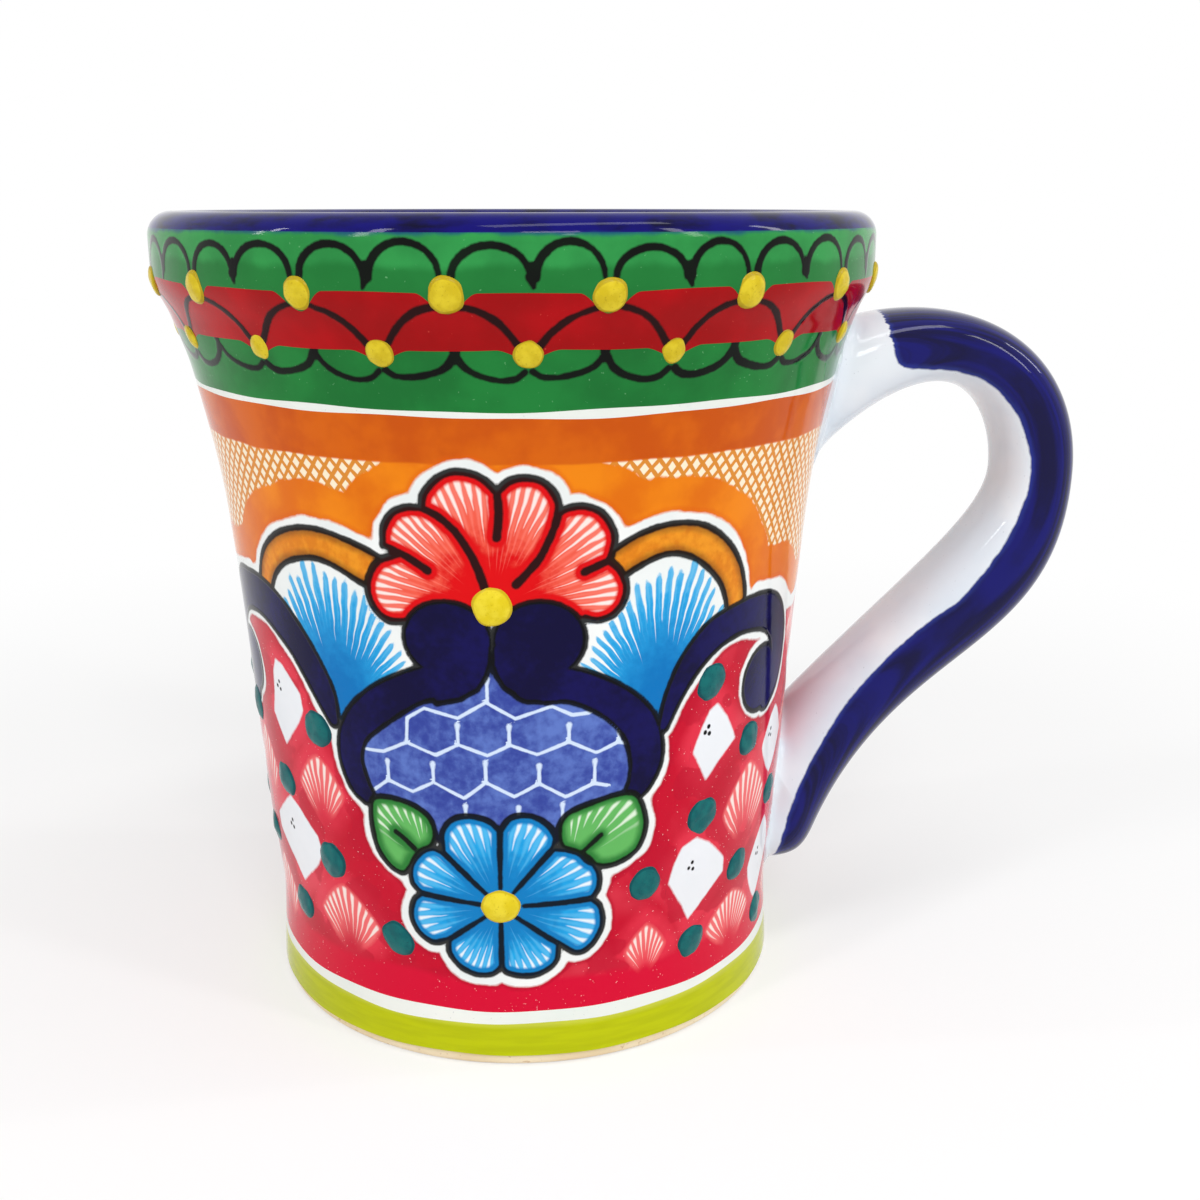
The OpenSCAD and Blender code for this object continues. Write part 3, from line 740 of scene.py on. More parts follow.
SCROLLS = [
    [(-8.8, 54.2, 5.0), (-13.5, 53.0, 4.4), (-18.8, 49.9, 4.9), (-22.9, 46.2, 4.4), (-24.2, 42.4, 4.0),
     (-23.3, 38.8, 3.6), (-22.0, 37.2, 2.6)],
    [(0.9, 54.0, 5.2), (6.5, 53.2, 4.4), (11.5, 50.6, 4.6), (15.0, 47.0, 5.0), (16.2, 42.8, 4.9),
     (15.6, 39.8, 3.8), (14.6, 38.2, 2.8)],
    [(-49.0, 45.8, 4.4), (-52.6, 48.0, 4.8), (-53.8, 52.0, 5.2), (-52.2, 56.4, 5.6), (-48.2, 59.6, 5.8),
     (-43.5, 60.4, 5.4), (-39.5, 60.1, 5.6), (-35.8, 58.6, 5.6), (-32.6, 56.2, 5.0), (-30.0, 53.2, 4.6),
     (-27.8, 49.8, 4.0), (-26.6, 46.6, 2.0)],
    [(18.5, 46.4, 1.6), (19.9, 50.2, 2.8), (22.4, 54.2, 3.8), (25.9, 57.1, 4.5), (30.2, 58.3, 4.4),
     (34.6, 58.4, 4.9), (38.6, 57.4, 5.2), (41.8, 54.6, 5.2), (42.9, 51.0, 4.8), (42.2, 47.6, 4.6),
     (39.8, 45.6, 4.4)]]
SCROLL_BALLS = [(-9.2, 59.2, 5.5, 4.9), (2.0, 59.2, 5.6, 5.0), (-48.5, 49.6, 4.4, 4.4),
                (37.4, 48.6, 4.6, 4.6)]
SPIKE_SIDES = [
    [(-3.8, 58.8), (-3.95, 56.3), (-4.6, 54.6), (-5.6, 53.0), (-7.9, 51.6), (-11.0, 50.9),
     (-13.0, 53.5), (-9.0, 57.0)],
    [(-3.7, 58.8), (-3.85, 56.3), (-3.4, 55.0), (-2.4, 53.3), (-0.5, 52.0), (2.5, 51.2), (6.5, 51.4),
     (3.0, 57.0)]]
SHIELD = [(-3.7, 58.0), (-5.2, 55.6), (-7.0, 53.6), (-10.0, 52.0), (-14.0, 51.0), (-18.3, 48.6),
          (-21.8, 45.4), (-22.6, 42.3), (-22.0, 39.0), (-20.4, 37.0), (-17.0, 36.6), (-12.5, 34.0),
          (-11.2, 32.0), (3.4, 32.0), (5.0, 35.0), (9.0, 37.0), (13.4, 37.8), (14.2, 40.4), (13.9, 43.5),
          (12.6, 46.6), (10.0, 49.6), (6.3, 51.8), (2.0, 52.6), (-0.6, 53.6), (-2.3, 55.6)]
COMB_LINES = [
    [(-15.3, 45.5), (-15.0, 48.7), (-12.6, 50.2), (-8.3, 49.2), (-4.7, 51.4), (-1.1, 49.3), (3.4, 50.8),
     (6.0, 49.5), (8.2, 49.6)],
    [(-21.6, 43.6), (-18.8, 43.7), (-15.3, 45.4), (-11.4, 44.1), (-8.4, 45.7), (-4.7, 44.4),
     (-1.8, 45.8), (1.6, 44.5), (5.6, 46.0), (9.2, 44.2), (12.1, 45.3), (13.2, 45.0)],
    [(-20.8, 38.1), (-18.4, 39.9), (-14.9, 38.8), (-11.9, 40.4), (-7.9, 38.5), (-5.0, 40.8),
     (-1.4, 38.9), (1.8, 40.6), (5.2, 38.6), (8.9, 40.1), (10.8, 39.6)]]
COMB_POSTS = [(-4.5, 54.4, 51.4), (-8.4, 48.3, 45.7), (-1.9, 48.3, 45.8), (5.6, 48.2, 46.0),
              (12.2, 46.8, 45.2), (-18.3, 42.5, 39.9), (-11.9, 42.9, 40.4), (-5.0, 43.5, 40.8),
              (1.8, 43.0, 40.6), (9.0, 43.1, 40.1), (-7.8, 37.5, 35.6), (-0.9, 37.4, 35.6),
              (4.8, 37.6, 35.6)]
COMB_W = 0.44
FIELD_EDGE = [(-66.4, 61.5), (-58.0, 61.0), (-48.0, 60.0), (-40.0, 60.0), (-33.0, 56.0), (-27.0, 49.0),
              (-20.0, 48.0), (0.0, 48.0), (17.0, 46.0), (19.5, 50.0), (23.0, 55.0), (30.0, 58.4),
              (38.0, 58.5), (42.0, 58.0), (46.0, 56.0), (50.0, 56.0), (54.0, 58.5), (59.3, 61.5)]
SIDE_LINES = [[(-67.0, 62.0, 2.4), (-58.0, 61.6, 2.6), (-50.0, 62.2, 3.0), (-43.0, 63.2, 3.0)],
              [(34.0, 61.2, 3.0), (40.5, 60.4, 3.0), (45.0, 57.4, 2.4), (50.0, 56.8, 2.2), (54.0, 59.0, 2.3),
               (60.0, 62.0, 2.4)]]
WHITE_CELLS = [
    [(27.6, 47.6), (29.7, 45.4), (32.0, 41.6), (28.9, 39.5), (26.3, 37.2), (23.6, 41.6), (24.2, 43.3),
     (26.1, 46.9)],
    [(25.3, 29.2), (28.0, 27.8), (31.7, 24.3), (32.0, 22.1), (29.2, 20.2), (25.1, 16.9), (23.6, 19.5),
     (20.7, 23.6), (21.6, 26.5), (22.8, 28.4)],
    [(-38.6, 52.1), (-36.8, 51.7), (-33.0, 48.6), (-32.8, 46.3), (-34.1, 44.3), (-38.4, 40.2),
     (-41.3, 44.0), (-40.2, 47.4), (-39.7, 50.3)],
    [(-39.4, 32.5), (-36.7, 31.3), (-32.9, 28.5), (-32.0, 26.3), (-33.6, 23.9), (-38.8, 19.8),
     (-40.8, 22.1), (-45.4, 25.6), (-45.6, 27.8), (-42.2, 30.5)]]
SIDE_CELLS = [(44.6, 37.6, 4.2, 5.0), (44.8, 19.4, 4.8, 6.4), (55.0, 28.5, 4.4, 5.6), (-56.0, 34.5, 4.6, 5.6),
              (-57.0, 15.5, 5.0, 5.0), (54.0, 47.5, 4.0, 4.6), (-61.5, 52.5, 4.0, 4.6)]
SPECKS = [(-1.1, 1.8), (-1.7, 1.1), (-0.9, 0.8)]
SPECK_R = 0.3
PINK_CELLS = [(36.6, 30.8, 6.0, 6.0), (35.4, 13.6, 6.2, 4.4), (17.6, 14.6, 3.4, 3.8),
              (-30.8, 35.9, 4.6, 4.8), (-28.2, 17.4, 6.0, 5.2), (-47.6, 35.0, 4.4, 5.4),
              (-47.6, 15.6, 4.6, 5.4), (52.0, 38.5, 3.8, 4.6), (54.6, 13.0, 4.8, 4.6),
              (-62.0, 25.5, 4.2, 5.2), (-62.5, 43.0, 3.8, 4.6), (49.4, 52.4, 3.0, 3.6)]


def oval(x, y, half_x, half_y, power=2.0, count=28):
    """A closed oval, which is a rounded diamond where the power is near one."""
    turn = np.linspace(0, 2 * math.pi, count, endpoint=False)
    c, s = np.cos(turn), np.sin(turn)
    out_x = half_x * np.sign(c) * np.abs(c) ** (2 / power)
    out_y = half_y * np.sign(s) * np.abs(s) ** (2 / power)
    return np.stack([x + out_x, y + out_y], axis=1)


def near_union(layers, blend):
    """The joined distance of several layers, with the inner corners between them rounded by blend."""
    joined = layers[0]
    for other in layers[1:]:
        share = np.clip(0.5 + 0.5 * (other - joined) / blend, 0, 1)
        joined = other + (joined - other) * share - blend * share * (1 - share)
    return joined


def spokes(art, near, root, rim, step, facing):
    """Lays out brush streaks: their count round a figure's root, and the share of the way to its rim."""
    def polar(x, y):
        place = (x - root[0] + 1j * (y - root[1])) * np.exp(-1j * facing)
        return np.angle(place), np.abs(place)

    turns, fars = polar(*np.asarray(rim, float)[:, :2].T)
    order = np.argsort(turns)
    turn, far = polar(art.across[near], art.up[near])
    art.layers["spoke"][near] = turn / step
    art.layers["reach"][near] = far / np.interp(turn, turns[order], fars[order])


def toward(root, points):
    """Direction from a root to the middle of some points."""
    x, y = np.mean(np.asarray(points, float)[:, :2], axis=0) - root
    return math.atan2(y, x)


def draw_lattice(art):
    """The crimson field, its streaked pink diamonds, and its white ones with their own small axes."""
    art.fill("field", [(FIELD_LEFT, 0.0), *FIELD_EDGE, (FIELD_RIGHT, 0.0)])
    for x, y, half_x, half_y in PINK_CELLS:
        cell = oval(x, y, half_x, half_y, DIAMOND)
        art.fill("pink", cell)
        near = (np.abs(art.across - x) < half_x + 1.5) & (np.abs(art.up - y) < half_y + 1.5)
        spokes(art, near, (x, y - half_y * 1.1), cell[cell[:, 1] > y - half_y * 0.2], 0.15, math.pi / 2)
    for cell in [*WHITE_CELLS, *(oval(*shape, DIAMOND) for shape in SIDE_CELLS)]:
        art.fill("cell", cell)
        (x, y), half = np.mean(cell, axis=0), np.ptp(cell, axis=0) / 2
        near = (np.abs(art.across - x) < half[0]) & (np.abs(art.up - y) < half[1])
        art.layers["cell_x"][near] = (art.across - x)[near]
        art.layers["cell_y"][near] = (art.up - y)[near]


def draw_fans(art):
    """Fans that open from a root to their tips, each with the same number of brush fingers."""
    for root, tips in FANS:
        line = curve(tips)
        art.fill("fan", np.concatenate([line, [root]]))
        (x0, y0), (x1, y1) = np.subtract(tips[0], root), np.subtract(tips[-1], root)
        span = abs(math.atan2(y0, x0) - math.atan2(y1, x1))
        near = (art.layers["fan"] < 2.5) & (np.abs(art.across - root[0]) < FAN_HALF)
        spokes(art, near, root, line, span / FAN_FINGERS, toward(root, line))


def draw_flowers(art):
    """Petals from a flower's root to their inked rims, and the lines between them."""
    for name, root, rims, rim_w, streaks, facing in (
            ("red", RED_FLOWER, RED_RIMS, 1.0, 84, math.pi / 2),
            ("blue", BLUE_FLOWER, BLUE_RIMS, 0.9, 56, -math.pi / 2)):
        for rim in rims:
            art.fill(name, np.concatenate([curve(rim), [root]]))
            for end in (rim[0], rim[-1]):
                art.stroke(name, [root, part_way(root, end, 0.9)], 1.2, LINE_REACH)
            art.stroke("ink", curve(rim), rim_w, LINE_REACH)
        whole_rim = np.concatenate([curve(rim) for rim in rims])
        spokes(art, art.layers[name] < 0.5, root, whole_rim, 2 * math.pi / streaks, facing)
    for cleft in RED_CLEFTS:
        line = curve(cleft)
        art.stroke("ink", line, np.linspace(0.9, 1.1, len(line)), LINE_REACH)
    for rim in BLUE_RIMS:
        art.stroke("ink", [part_way(BLUE_FLOWER, rim[0], 0.25), rim[0]], [0.7, 0.95], LINE_REACH)


def draw_leaves(art):
    """Leaves with an inked outline and vein, streaked from a root beside the blue flower."""
    for leaf, vein, root, step in zip(LEAVES, LEAF_VEINS, LEAF_ROOTS, (-0.15, 0.15)):
        outline = curve(leaf, closed=True)
        art.fill("leaf", outline)
        art.stroke("ink", np.concatenate([outline, outline[:1]]), 0.85, LINE_REACH)
        art.stroke("ink", curve(vein), 0.75, LINE_REACH)
        far_side = outline[np.hypot(*(outline - root).T) > 4.0]
        near = (art.layers["leaf"] < 0.5) & (np.abs(art.across - root[0]) < LEAF_HALF)
        spokes(art, near, root, far_side, step, toward(root, leaf))


def draw_scrolls(art):
    """Yellow arcs and cobalt scrolls, each inked along its edge where no later paint covers it."""
    for line in ARCS:
        art.stroke("arc", curve(line))
    for line in SCROLLS:
        art.stroke("cobalt", curve(line))
    for ball in SCROLL_BALLS:
        art.fill("cobalt", oval(*ball))
    for side in SPIKE_SIDES:
        art.fill("cobalt", side)
    for name, line_w, over in (("arc", 0.85, ("red", "cobalt")), ("cobalt", 0.7, ("leaf",))):
        line = np.abs(art.layers[name]) - line_w / 2
        for other in over:
            line = np.maximum(line, -art.layers[other])
        art.layers["ink"] = np.minimum(art.layer("ink"), line)


def draw_shield(art):
    """The shield, and its honeycomb of zigzag hairlines and short posts between them."""
    art.fill("shield", curve(SHIELD, closed=True, steps=3))
    for line in COMB_LINES:
        art.hair("comb", line)
    for x, top, low in COMB_POSTS:
        art.hair("comb", [(x, top), (x, low)])
        art.stroke("knob", [(x, top), (x, top - 0.8)], [0.75, 0.4], INK_REACH)


def draw_ground(art):
    """White ground around the painted figures."""
    grown = [art.layers[name] - margin for name, margin in GROUND_MARGINS.items()]
    for line in SIDE_LINES:
        art.stroke("halo", curve(line))
    art.layers["halo"] = np.minimum(art.layers["halo"], near_union(grown, GROUND_BLEND))


def luck_of(v, number):
    """A random share for each numbered streak."""
    return v.node("ShaderNodeTexWhiteNoise", {"noise_dimensions": "1D"}, {"W": number}, "Value")


def wedges(v, spoke, reach, start, end, width, soft):
    """How much of a place lies in tapered brush streaks, which open from start to end of the way out."""
    number = v.math("ROUND", spoke)
    luck = luck_of(v, number)
    opened = ramped(v, reach, start + (luck - 0.5) * 0.3, end)
    beside = v.math("ABSOLUTE", spoke - number)
    return covered(v, beside - opened * width * (0.75 + luck * 0.4), soft) * ramped(v, opened, 0.02, 0.12)


def brushwork(v, place):
    """What the paints of a panel share: their clouding, the hand's shake, and the places of the streaks."""
    fine = noise(v, place, 900.0, 3.0)
    shake = hand_shake(v, place)
    drift = (noise(v, place, 150.0, 2.0) - 0.5) * 1.6
    ink = painted(v, "ink") + shake * 0.55
    reach = painted(v, "reach") + (fine - 0.5) * 0.1
    spoke = painted(v, "spoke") + (noise(v, place, 300.0, 1.0) - 0.5) * 0.5
    inside = ramped(v, ink, 0.45, 1.0) * ramped(v, reach, 0.97, 0.92)
    return SimpleNamespace(
        place=place, fine=fine, cloud=noise(v, place, 120.0, 4.0), shake=shake, ink=ink, reach=reach,
        spoke=spoke, inside=inside, up=painted(v, "up"), halo=painted(v, "halo") + shake * 0.8 + drift)


def orange_wash(v, hand):
    """A deep stripe at the top, a plain stroke around the figures, and a cross-hatched net between."""
    across = painted(v, "across")
    bend = noise(v, hand.place, 160.0, 1.0) * 2.4
    slopes = (NET_SLOPE, -NET_SLOPE)
    hatching = [v.math("SINE", (across + hand.up * slope) * NET_PITCH + bend) for slope in slopes]
    holes = ramped(v, v.math("MAXIMUM", *hatching) + (hand.fine - 0.5) * 0.9, 0.56, 0.26)
    beyond = ramped(v, hand.halo + (hand.cloud - 0.5) * 2.2, 4.2, 4.6)
    below = ramped(v, hand.up + (hand.cloud - 0.5) * 1.0, *ORANGE_STRIPE_Z)
    orange = washed(v, hand.cloud, 0.35, 0.65, "E06E00", "F08606")
    netted = mixed(v, holes, tint("DC8C32"), tint("FAEBCE"))
    stripe = washed(v, hand.cloud, 0.4, 0.6, "C85200", "D66202")
    colour = mixed(v, beyond * below, orange, netted)
    colour = mixed(v, 1 - below, colour, stripe)
    return mixed(v, ramped(v, hand.halo, 0.9, 0.2) * 0.5, colour, tint("DC5C00"))


def crimson_lattice(v, hand):
    """Brushed crimson strips that leave white diamonds and streaked pink ones."""
    cell = painted(v, "cell") + hand.shake * 0.7
    pink = painted(v, "pink") + hand.shake
    apart = v.math("MINIMUM", cell, pink) + (hand.cloud - 0.5) * 4.0
    wash = noise(v, hand.place, 75.0, 3.0)
    pool = ramped(v, noise(v, hand.place, 130.0, 2.0) + (hand.fine - 0.5) * 0.05, 0.5, 0.53)
    speck = ramped(v, noise(v, hand.place, 3000.0, 1.0), 0.73, 0.78)
    feather = wedges(v, hand.spoke, hand.reach, 0.34, 1.05, 0.28, 0.16) * covered(v, pink + 0.3, 0.4)
    bare = mixed(v, hand.cloud, tint("F2F4F8"), tint("E4E8EC"))
    colour = washed(v, apart, 0.6, 3.4, "E02C44", "C60028")
    for share, shade in (
            (ramped(v, wash, 0.5, 0.72) * 0.45, tint("E84A5C")),
            (ramped(v, wash, 0.48, 0.3) * 0.5, tint("BE0026")),
            (pool * 0.65, tint("BC0028")),
            (ramped(v, hand.up + (hand.cloud - 0.5) * 2.0, *LOW_CRIMSON_Z), tint("D40030")),
            (ramped(v, hand.halo, 0.8, 0.2) * 0.6, tint("B00024")),
            (speck * 0.6, tint("FADADA")),
            (covered(v, pink, 0.7) * ramped(v, hand.reach, 0.15, 0.7), tint("EE6A6C")),
            (feather * 0.9, tint("F8ECE4")),
            (covered(v, cell, 0.35), bare)):
        colour = mixed(v, share, colour, shade)
    cell_x, cell_y = painted(v, "cell_x"), painted(v, "cell_y")
    for x, y in SPECKS:
        away = v.math("SQRT", (cell_x - x) * (cell_x - x) + (cell_y - y) * (cell_y - y))
        colour = mixed(v, covered(v, away - SPECK_R + hand.shake * 0.4, 0.15), colour, tint("060606"))
    return colour


def fan_paint(v, hand):
    """The blue of a fan, paler at the tips of its brush fingers, and how much the fingers cover."""
    finger = v.math("ROUND", hand.spoke)
    beside = hand.spoke - finger
    slit = wedges(v, hand.spoke + 0.5, hand.reach, 0.52, 1.05, 0.26, 0.12)
    past_tip = hand.reach - luck_of(v, finger + 40.0) * 0.14 + beside * beside * 0.5 - 0.94
    cover = covered(v, painted(v, "fan") - 1.5, 0.3) * (1 - slit) * covered(v, past_tip, 0.03)
    bristle = v.math("SINE", hand.spoke * 11.0 + hand.fine * 5.0) + (hand.cloud - 0.5) * 1.5
    bristle = ramped(v, bristle, 0.1, 0.9) * ramped(v, hand.reach, 0.5, 0.85)
    colour = washed(v, hand.reach + (hand.fine - 0.5) * 0.3, 0.2, 0.9, "0072BA", "24A2E0")
    colour = mixed(v, bristle * 0.35, colour, tint("6CC4EC"))
    pale = ramped(v, hand.reach + (hand.fine - 0.5) * 0.2, 0.75, 1.0)
    return mixed(v, pale * 0.4, colour, tint("86CCEC")), cover


def petal_paint(v, hand, opening, shades, glow, streak):
    """A petal's wash, which opens paler towards its rim, with soft glints and sharp white streaks."""
    deep, pale, glint, white = (tint(shade) for shade in shades)
    opened = ramped(v, hand.reach + (hand.fine - 0.5) * 0.3, *opening) * hand.inside
    glints = wedges(v, hand.spoke + 0.5, hand.reach, 0.3, 0.9, 0.34, 0.3) * hand.inside
    streaks = wedges(v, hand.spoke, hand.reach, *streak) * hand.inside
    colour = mixed(v, glints * glow, mixed(v, opened, deep, pale), glint)
    return mixed(v, streaks * 0.9, colour, white)


def leaf_paint(v, hand):
    """Green that darkens to its outline, with pale streaks over most of the leaf."""
    colour = washed(v, hand.ink + (hand.cloud - 0.5) * 2.0, 0.2, 1.4, "2C7C34", "62B45E")
    streaks = wedges(v, hand.spoke, hand.reach, 0.42, 1.1, 0.3, 0.2) * hand.inside
    return mixed(v, streaks * ramped(v, hand.spoke, -2.5, -1.0), colour, tint("DCEED6"))


def shield_paint(v, hand):
    """A thin blue wash under the pale hairlines of a honeycomb, with a knob at the head of each post."""
    colour = washed(v, hand.cloud * 0.6 + hand.fine * 0.4, 0.36, 0.64, "34449A", "5E78C4")
    comb = v.math("ABSOLUTE", painted(v, "comb_side")) - COMB_W / 2 + hand.shake * 0.4
    comb = covered(v, comb, 0.16) * ramped(v, painted(v, "comb"), 0.5, 0.3)
    knob = covered(v, painted(v, "knob") + hand.shake * 0.3, 0.25)
    return mixed(v, v.math("MAXIMUM", comb, knob), colour, tint("D2E2F8"))


def panel_glaze():
    """Each layer of paint over the last, from the washes and the white ground up to the ink."""
    made, v, place = new_material("panel_glaze")
    hand = brushwork(v, place)
    colour = mixed(v, covered(v, painted(v, "field"), 0.6), orange_wash(v, hand), crimson_lattice(v, hand))
    white = washed(v, hand.cloud, 0.3, 0.7, "F2F4F2", "E8EDEC")
    colour = mixed(v, covered(v, hand.halo, 0.35), colour, white)
    fan, cover = fan_paint(v, hand)
    colour = mixed(v, cover, colour, fan)
    arc = washed(v, hand.cloud * 0.5 + hand.fine * 0.5, 0.4, 0.62, "DC7E12", "EC961E")
    arc = mixed(v, ramped(v, painted(v, "arc") + hand.shake, -1.5, -0.3) * 0.7, arc, tint("7A4A10"))
    red = petal_paint(v, hand, (0.34, 0.62), ("DC0008", "F05C48", "FA9484", "FAF0EA"), 0.35,
                      (0.56, 0.96, 0.3, 0.2))
    blue = petal_paint(v, hand, (0.3, 0.8), ("067CC0", "20A6E6", "70CAF2", "F2F8FA"), 0.4,
                       (0.62, 1.0, 0.28, 0.2))
    cobalt = washed(v, hand.cloud * 0.7 + hand.fine * 0.3, 0.4, 0.66, "060134", "0E0850")
    shield, leaf = shield_paint(v, hand), leaf_paint(v, hand)
    for name, paint, soft, stray in (
            ("arc", arc, 0.3, 0.5), ("shield", shield, 0.4, 0.6), ("red", red, 0.25, 0.4),
            ("blue", blue, 0.25, 0.4), ("cobalt", cobalt, 0.25, 0.5), ("leaf", leaf, 0.3, 0.4)):
        share = covered(v, painted(v, name) + hand.shake * stray, soft)
        colour = mixed(v, share, colour, paint)
    ink = covered(v, hand.ink, 0.22)
    colour = mixed(v, ink * 0.97, colour, tint("030405"))
    surface(v, colour, 0.07 + hand.cloud * 0.05, glaze_relief(v, place) + ink * 0.2, 0.12)
    return made


panel_material = panel_glaze()
for name, half_turn in (("front_panel", 0.0), ("back_panel", math.pi)):
    panel_turns = PANEL_TURN_LOW + np.linspace(0, math.pi, PANEL_COLUMNS)
    around = panel_turns + half_turn
    panel, turn, z = coat(name, around, painted_edge(around, PANEL_LOW_Z), painted_edge(around, PANEL_TOP_Z),
                          PANEL_ROWS, panel_material, back_rows=8, ring=False)
    art = Painting((turn - half_turn) * UNROLLED_R, z)
    for layer in ("spoke", "reach", "cell_x", "cell_y"):
        art.layer(layer)
    for draw in (draw_lattice, draw_fans, draw_flowers, draw_leaves, draw_scrolls, draw_shield, draw_ground):
        draw(art)
    keep_layers(panel, {**art.layers, "across": art.across, "up": art.up})
    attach(panel, "root")
    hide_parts("panel_glaze")

# Slip dots: drops of coloured slip trailed on the raw glaze, so each stands up as a low shiny bead.
# Yellow ones sit on the two edges of the red band and in the hearts of the flowers,
# and teal ones on the crossings of the crimson lattice.
UPPER_YELLOW_D, LOWER_YELLOW_D, YELLOW_H = 3.6, 3.1, 0.42
FLOWER_D, FLOWER_H = 4.6, 0.55
TEAL_D, TEAL_H = 4.7, 0.45
TEAL_ROW = 18.7
BEAD_SINK = 0.8
BEAD_SPREAD = 1.12
HANDLE_CLEAR = 15.2
HANDLE_TOP_Z = 97.7
PANEL_DOT_COLUMNS = [(-57.3, 16.0, 2), (-43.0, 25.8, 2), (-27.5, 16.8, 1), (24.1, 24.5, 1), (37.5, 13.4, 3),
                     (51.2, 21.8, 2), (65.3, 11.0, 2)]
PLAIN_SIDE_COLUMNS = [(79.0, 19.0, 2), (94.0, 27.0, 2), (108.5, 24.0, 2)]
HANDLE_SIDE_COLUMNS = [(113.6, 25.3, 2)]


def bead_tree():
    """Beads on points: each faces out of the wall and differs a little in size and outline."""
    tree = bpy.data.node_groups.new("slip_beads", "GeometryNodeTree")
    kinds = {"Points": "Geometry", "Width": "Float", "Height": "Float", "Seed": "Int", "Material": "Material"}
    for name, kind in kinds.items():
        tree.interface.new_socket(name, in_out="INPUT", socket_type="NodeSocket" + kind)
    tree.interface.new_socket("Beads", in_out="OUTPUT", socket_type="NodeSocketGeometry")
    v = Value(tree)
    given = {name: v.node("NodeGroupInput", out=name) for name in kinds}
    ball = v.node("GeometryNodeMeshUVSphere", {}, {"Segments": 32, "Rings": 18, "Radius": 1.0})
    rise = v.node("ShaderNodeSeparateXYZ", {}, {0: v.node("GeometryNodeInputPosition")}, 2)
    ball = v.node("GeometryNodeStoreNamedAttribute", {"data_type": "FLOAT", "domain": "POINT"},
                  {"Geometry": ball, "Name": "rise", "Value": rise})
    facing = v.node("GeometryNodeInputNamedAttribute", {"data_type": "FLOAT_VECTOR"}, {"Name": "facing"})
    turned_out = v.node("FunctionNodeAlignRotationToVector", {"axis": "Z"}, {"Vector": facing})

    def varied(least, most, step):
        sockets = {2: least, 3: most, "Seed": given["Seed"] + step}
        return v.node("FunctionNodeRandomValue", {"data_type": "FLOAT"}, sockets, 1)

    size = v.node("ShaderNodeCombineXYZ", {}, {0: given["Width"] * 0.5 * varied(0.92, 1.06, 0),
                                               1: given["Width"] * 0.5 * varied(0.94, 1.1, 1),
                                               2: given["Height"] * varied(0.9, 1.1, 2)})
    beads = v.node("GeometryNodeInstanceOnPoints", {}, {"Points": given["Points"], "Instance": ball,
                                                        "Rotation": turned_out, "Scale": size})
    beads = v.node("GeometryNodeRealizeInstances", {}, {"Geometry": beads})
    place = v.node("GeometryNodeInputPosition")
    stray = v.node("ShaderNodeTexNoise", {}, {"Vector": place, "Scale": 420.0, "Detail": 1.0}, "Color")
    stray = v.node("ShaderNodeVectorMath", {"operation": "SUBTRACT"}, {0: stray, 1: (0.5, 0.5, 0.5)})
    stray = v.node("ShaderNodeVectorMath", {"operation": "SCALE"}, {0: stray, "Scale": 0.5 * MM})
    beads = v.node("GeometryNodeSetPosition", {}, {"Geometry": beads, "Offset": stray})
    beads = v.node("GeometryNodeSetShadeSmooth", {}, {0: beads})
    beads = v.node("GeometryNodeSetMaterial", {}, {"Geometry": beads, "Material": given["Material"]})
    v.node("NodeGroupOutput", {}, {"Beads": beads})
    return tree


def wall_lean(z, span):
    """How far the wall leans out at a height, in radians, over a short span of it."""
    return np.arctan2(wall_r(z + span / 2) - wall_r(z - span / 2), span)


def grow(piece, tree, inputs):
    """Runs a geometry tree on a piece and keeps the result as its plain mesh."""
    modifier = piece.modifiers.new("beads", "NODES")
    modifier.node_group = tree
    for item in tree.interface.items_tree:
        if item.item_type == "SOCKET" and item.in_out == "INPUT" and item.name in inputs:
            modifier[item.identifier] = inputs[item.name]
    bpy.context.view_layer.update()
    evaluated = piece.evaluated_get(bpy.context.evaluated_depsgraph_get())
    mesh = bpy.data.meshes.new_from_object(evaluated)
    mesh.name = piece.name
    piece.modifiers.remove(modifier)
    piece.data = mesh


def slip_beads(node, tree, places, width, height, seed, material):
    """One piece of raised beads at turns in degrees and heights on the wall."""
    turn, z = np.radians([p[0] for p in places]), np.array([p[1] for p in places], float)
    lean = wall_lean(z, width)
    out = at_turn(turn, np.cos(lean), -np.sin(lean))
    name = node.replace("dots", "beads").replace("centres", "beads")
    mesh = bpy.data.meshes.new(name)
    mesh.from_pydata(((at_turn(turn, wall_r(z), z) - out * BEAD_SINK * height) * MM).tolist(), [], [])
    facing = mesh.attributes.new("facing", "FLOAT_VECTOR", "POINT")
    facing.data.foreach_set("vector", out.ravel().astype(np.float32))
    piece = bpy.data.objects.new(name, mesh)
    bpy.context.scene.collection.objects.link(piece)
    grow(piece, tree, {"Width": width * BEAD_SPREAD * MM, "Height": height * (1 + BEAD_SINK) * MM,
                       "Seed": seed, "Material": material})
    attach(piece, "root")
    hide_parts(node)


def slip(name, body, thin, deep):
    made, v, place = new_material(name)
    cloud = noise(v, place, 700.0, 3.0)
    speck = noise(v, place, 3200.0, 2.0)
    colour = washed(v, cloud, 0.35, 0.65, body, thin)
    colour = mixed(v, ramped(v, speck, 0.62, 0.72) * 0.5, colour, tint(deep))
    colour = mixed(v, ramped(v, painted(v, "rise"), 0.62, 0.5) * 0.7, colour, tint(deep))
    surface(v, colour, 0.14 + speck * 0.14, cloud + speck * 0.4, 0.05)
    return made


def border_places(first, z):
    """Turns in degrees and heights of a row of yellow dots, but for those under the handle's root."""
    turns = [float(swayed(first + i * PITCH)) for i in range(BORDER_DOTS)]
    if z < HANDLE_TOP_Z:
        clear = HANDLE_CLEAR / float(wall_r(z))
        turns = [t for t in turns if math.sin(t) <= 0 or abs(math.cos(t)) >= clear]
    return [(math.degrees(t), z) for t in turns]


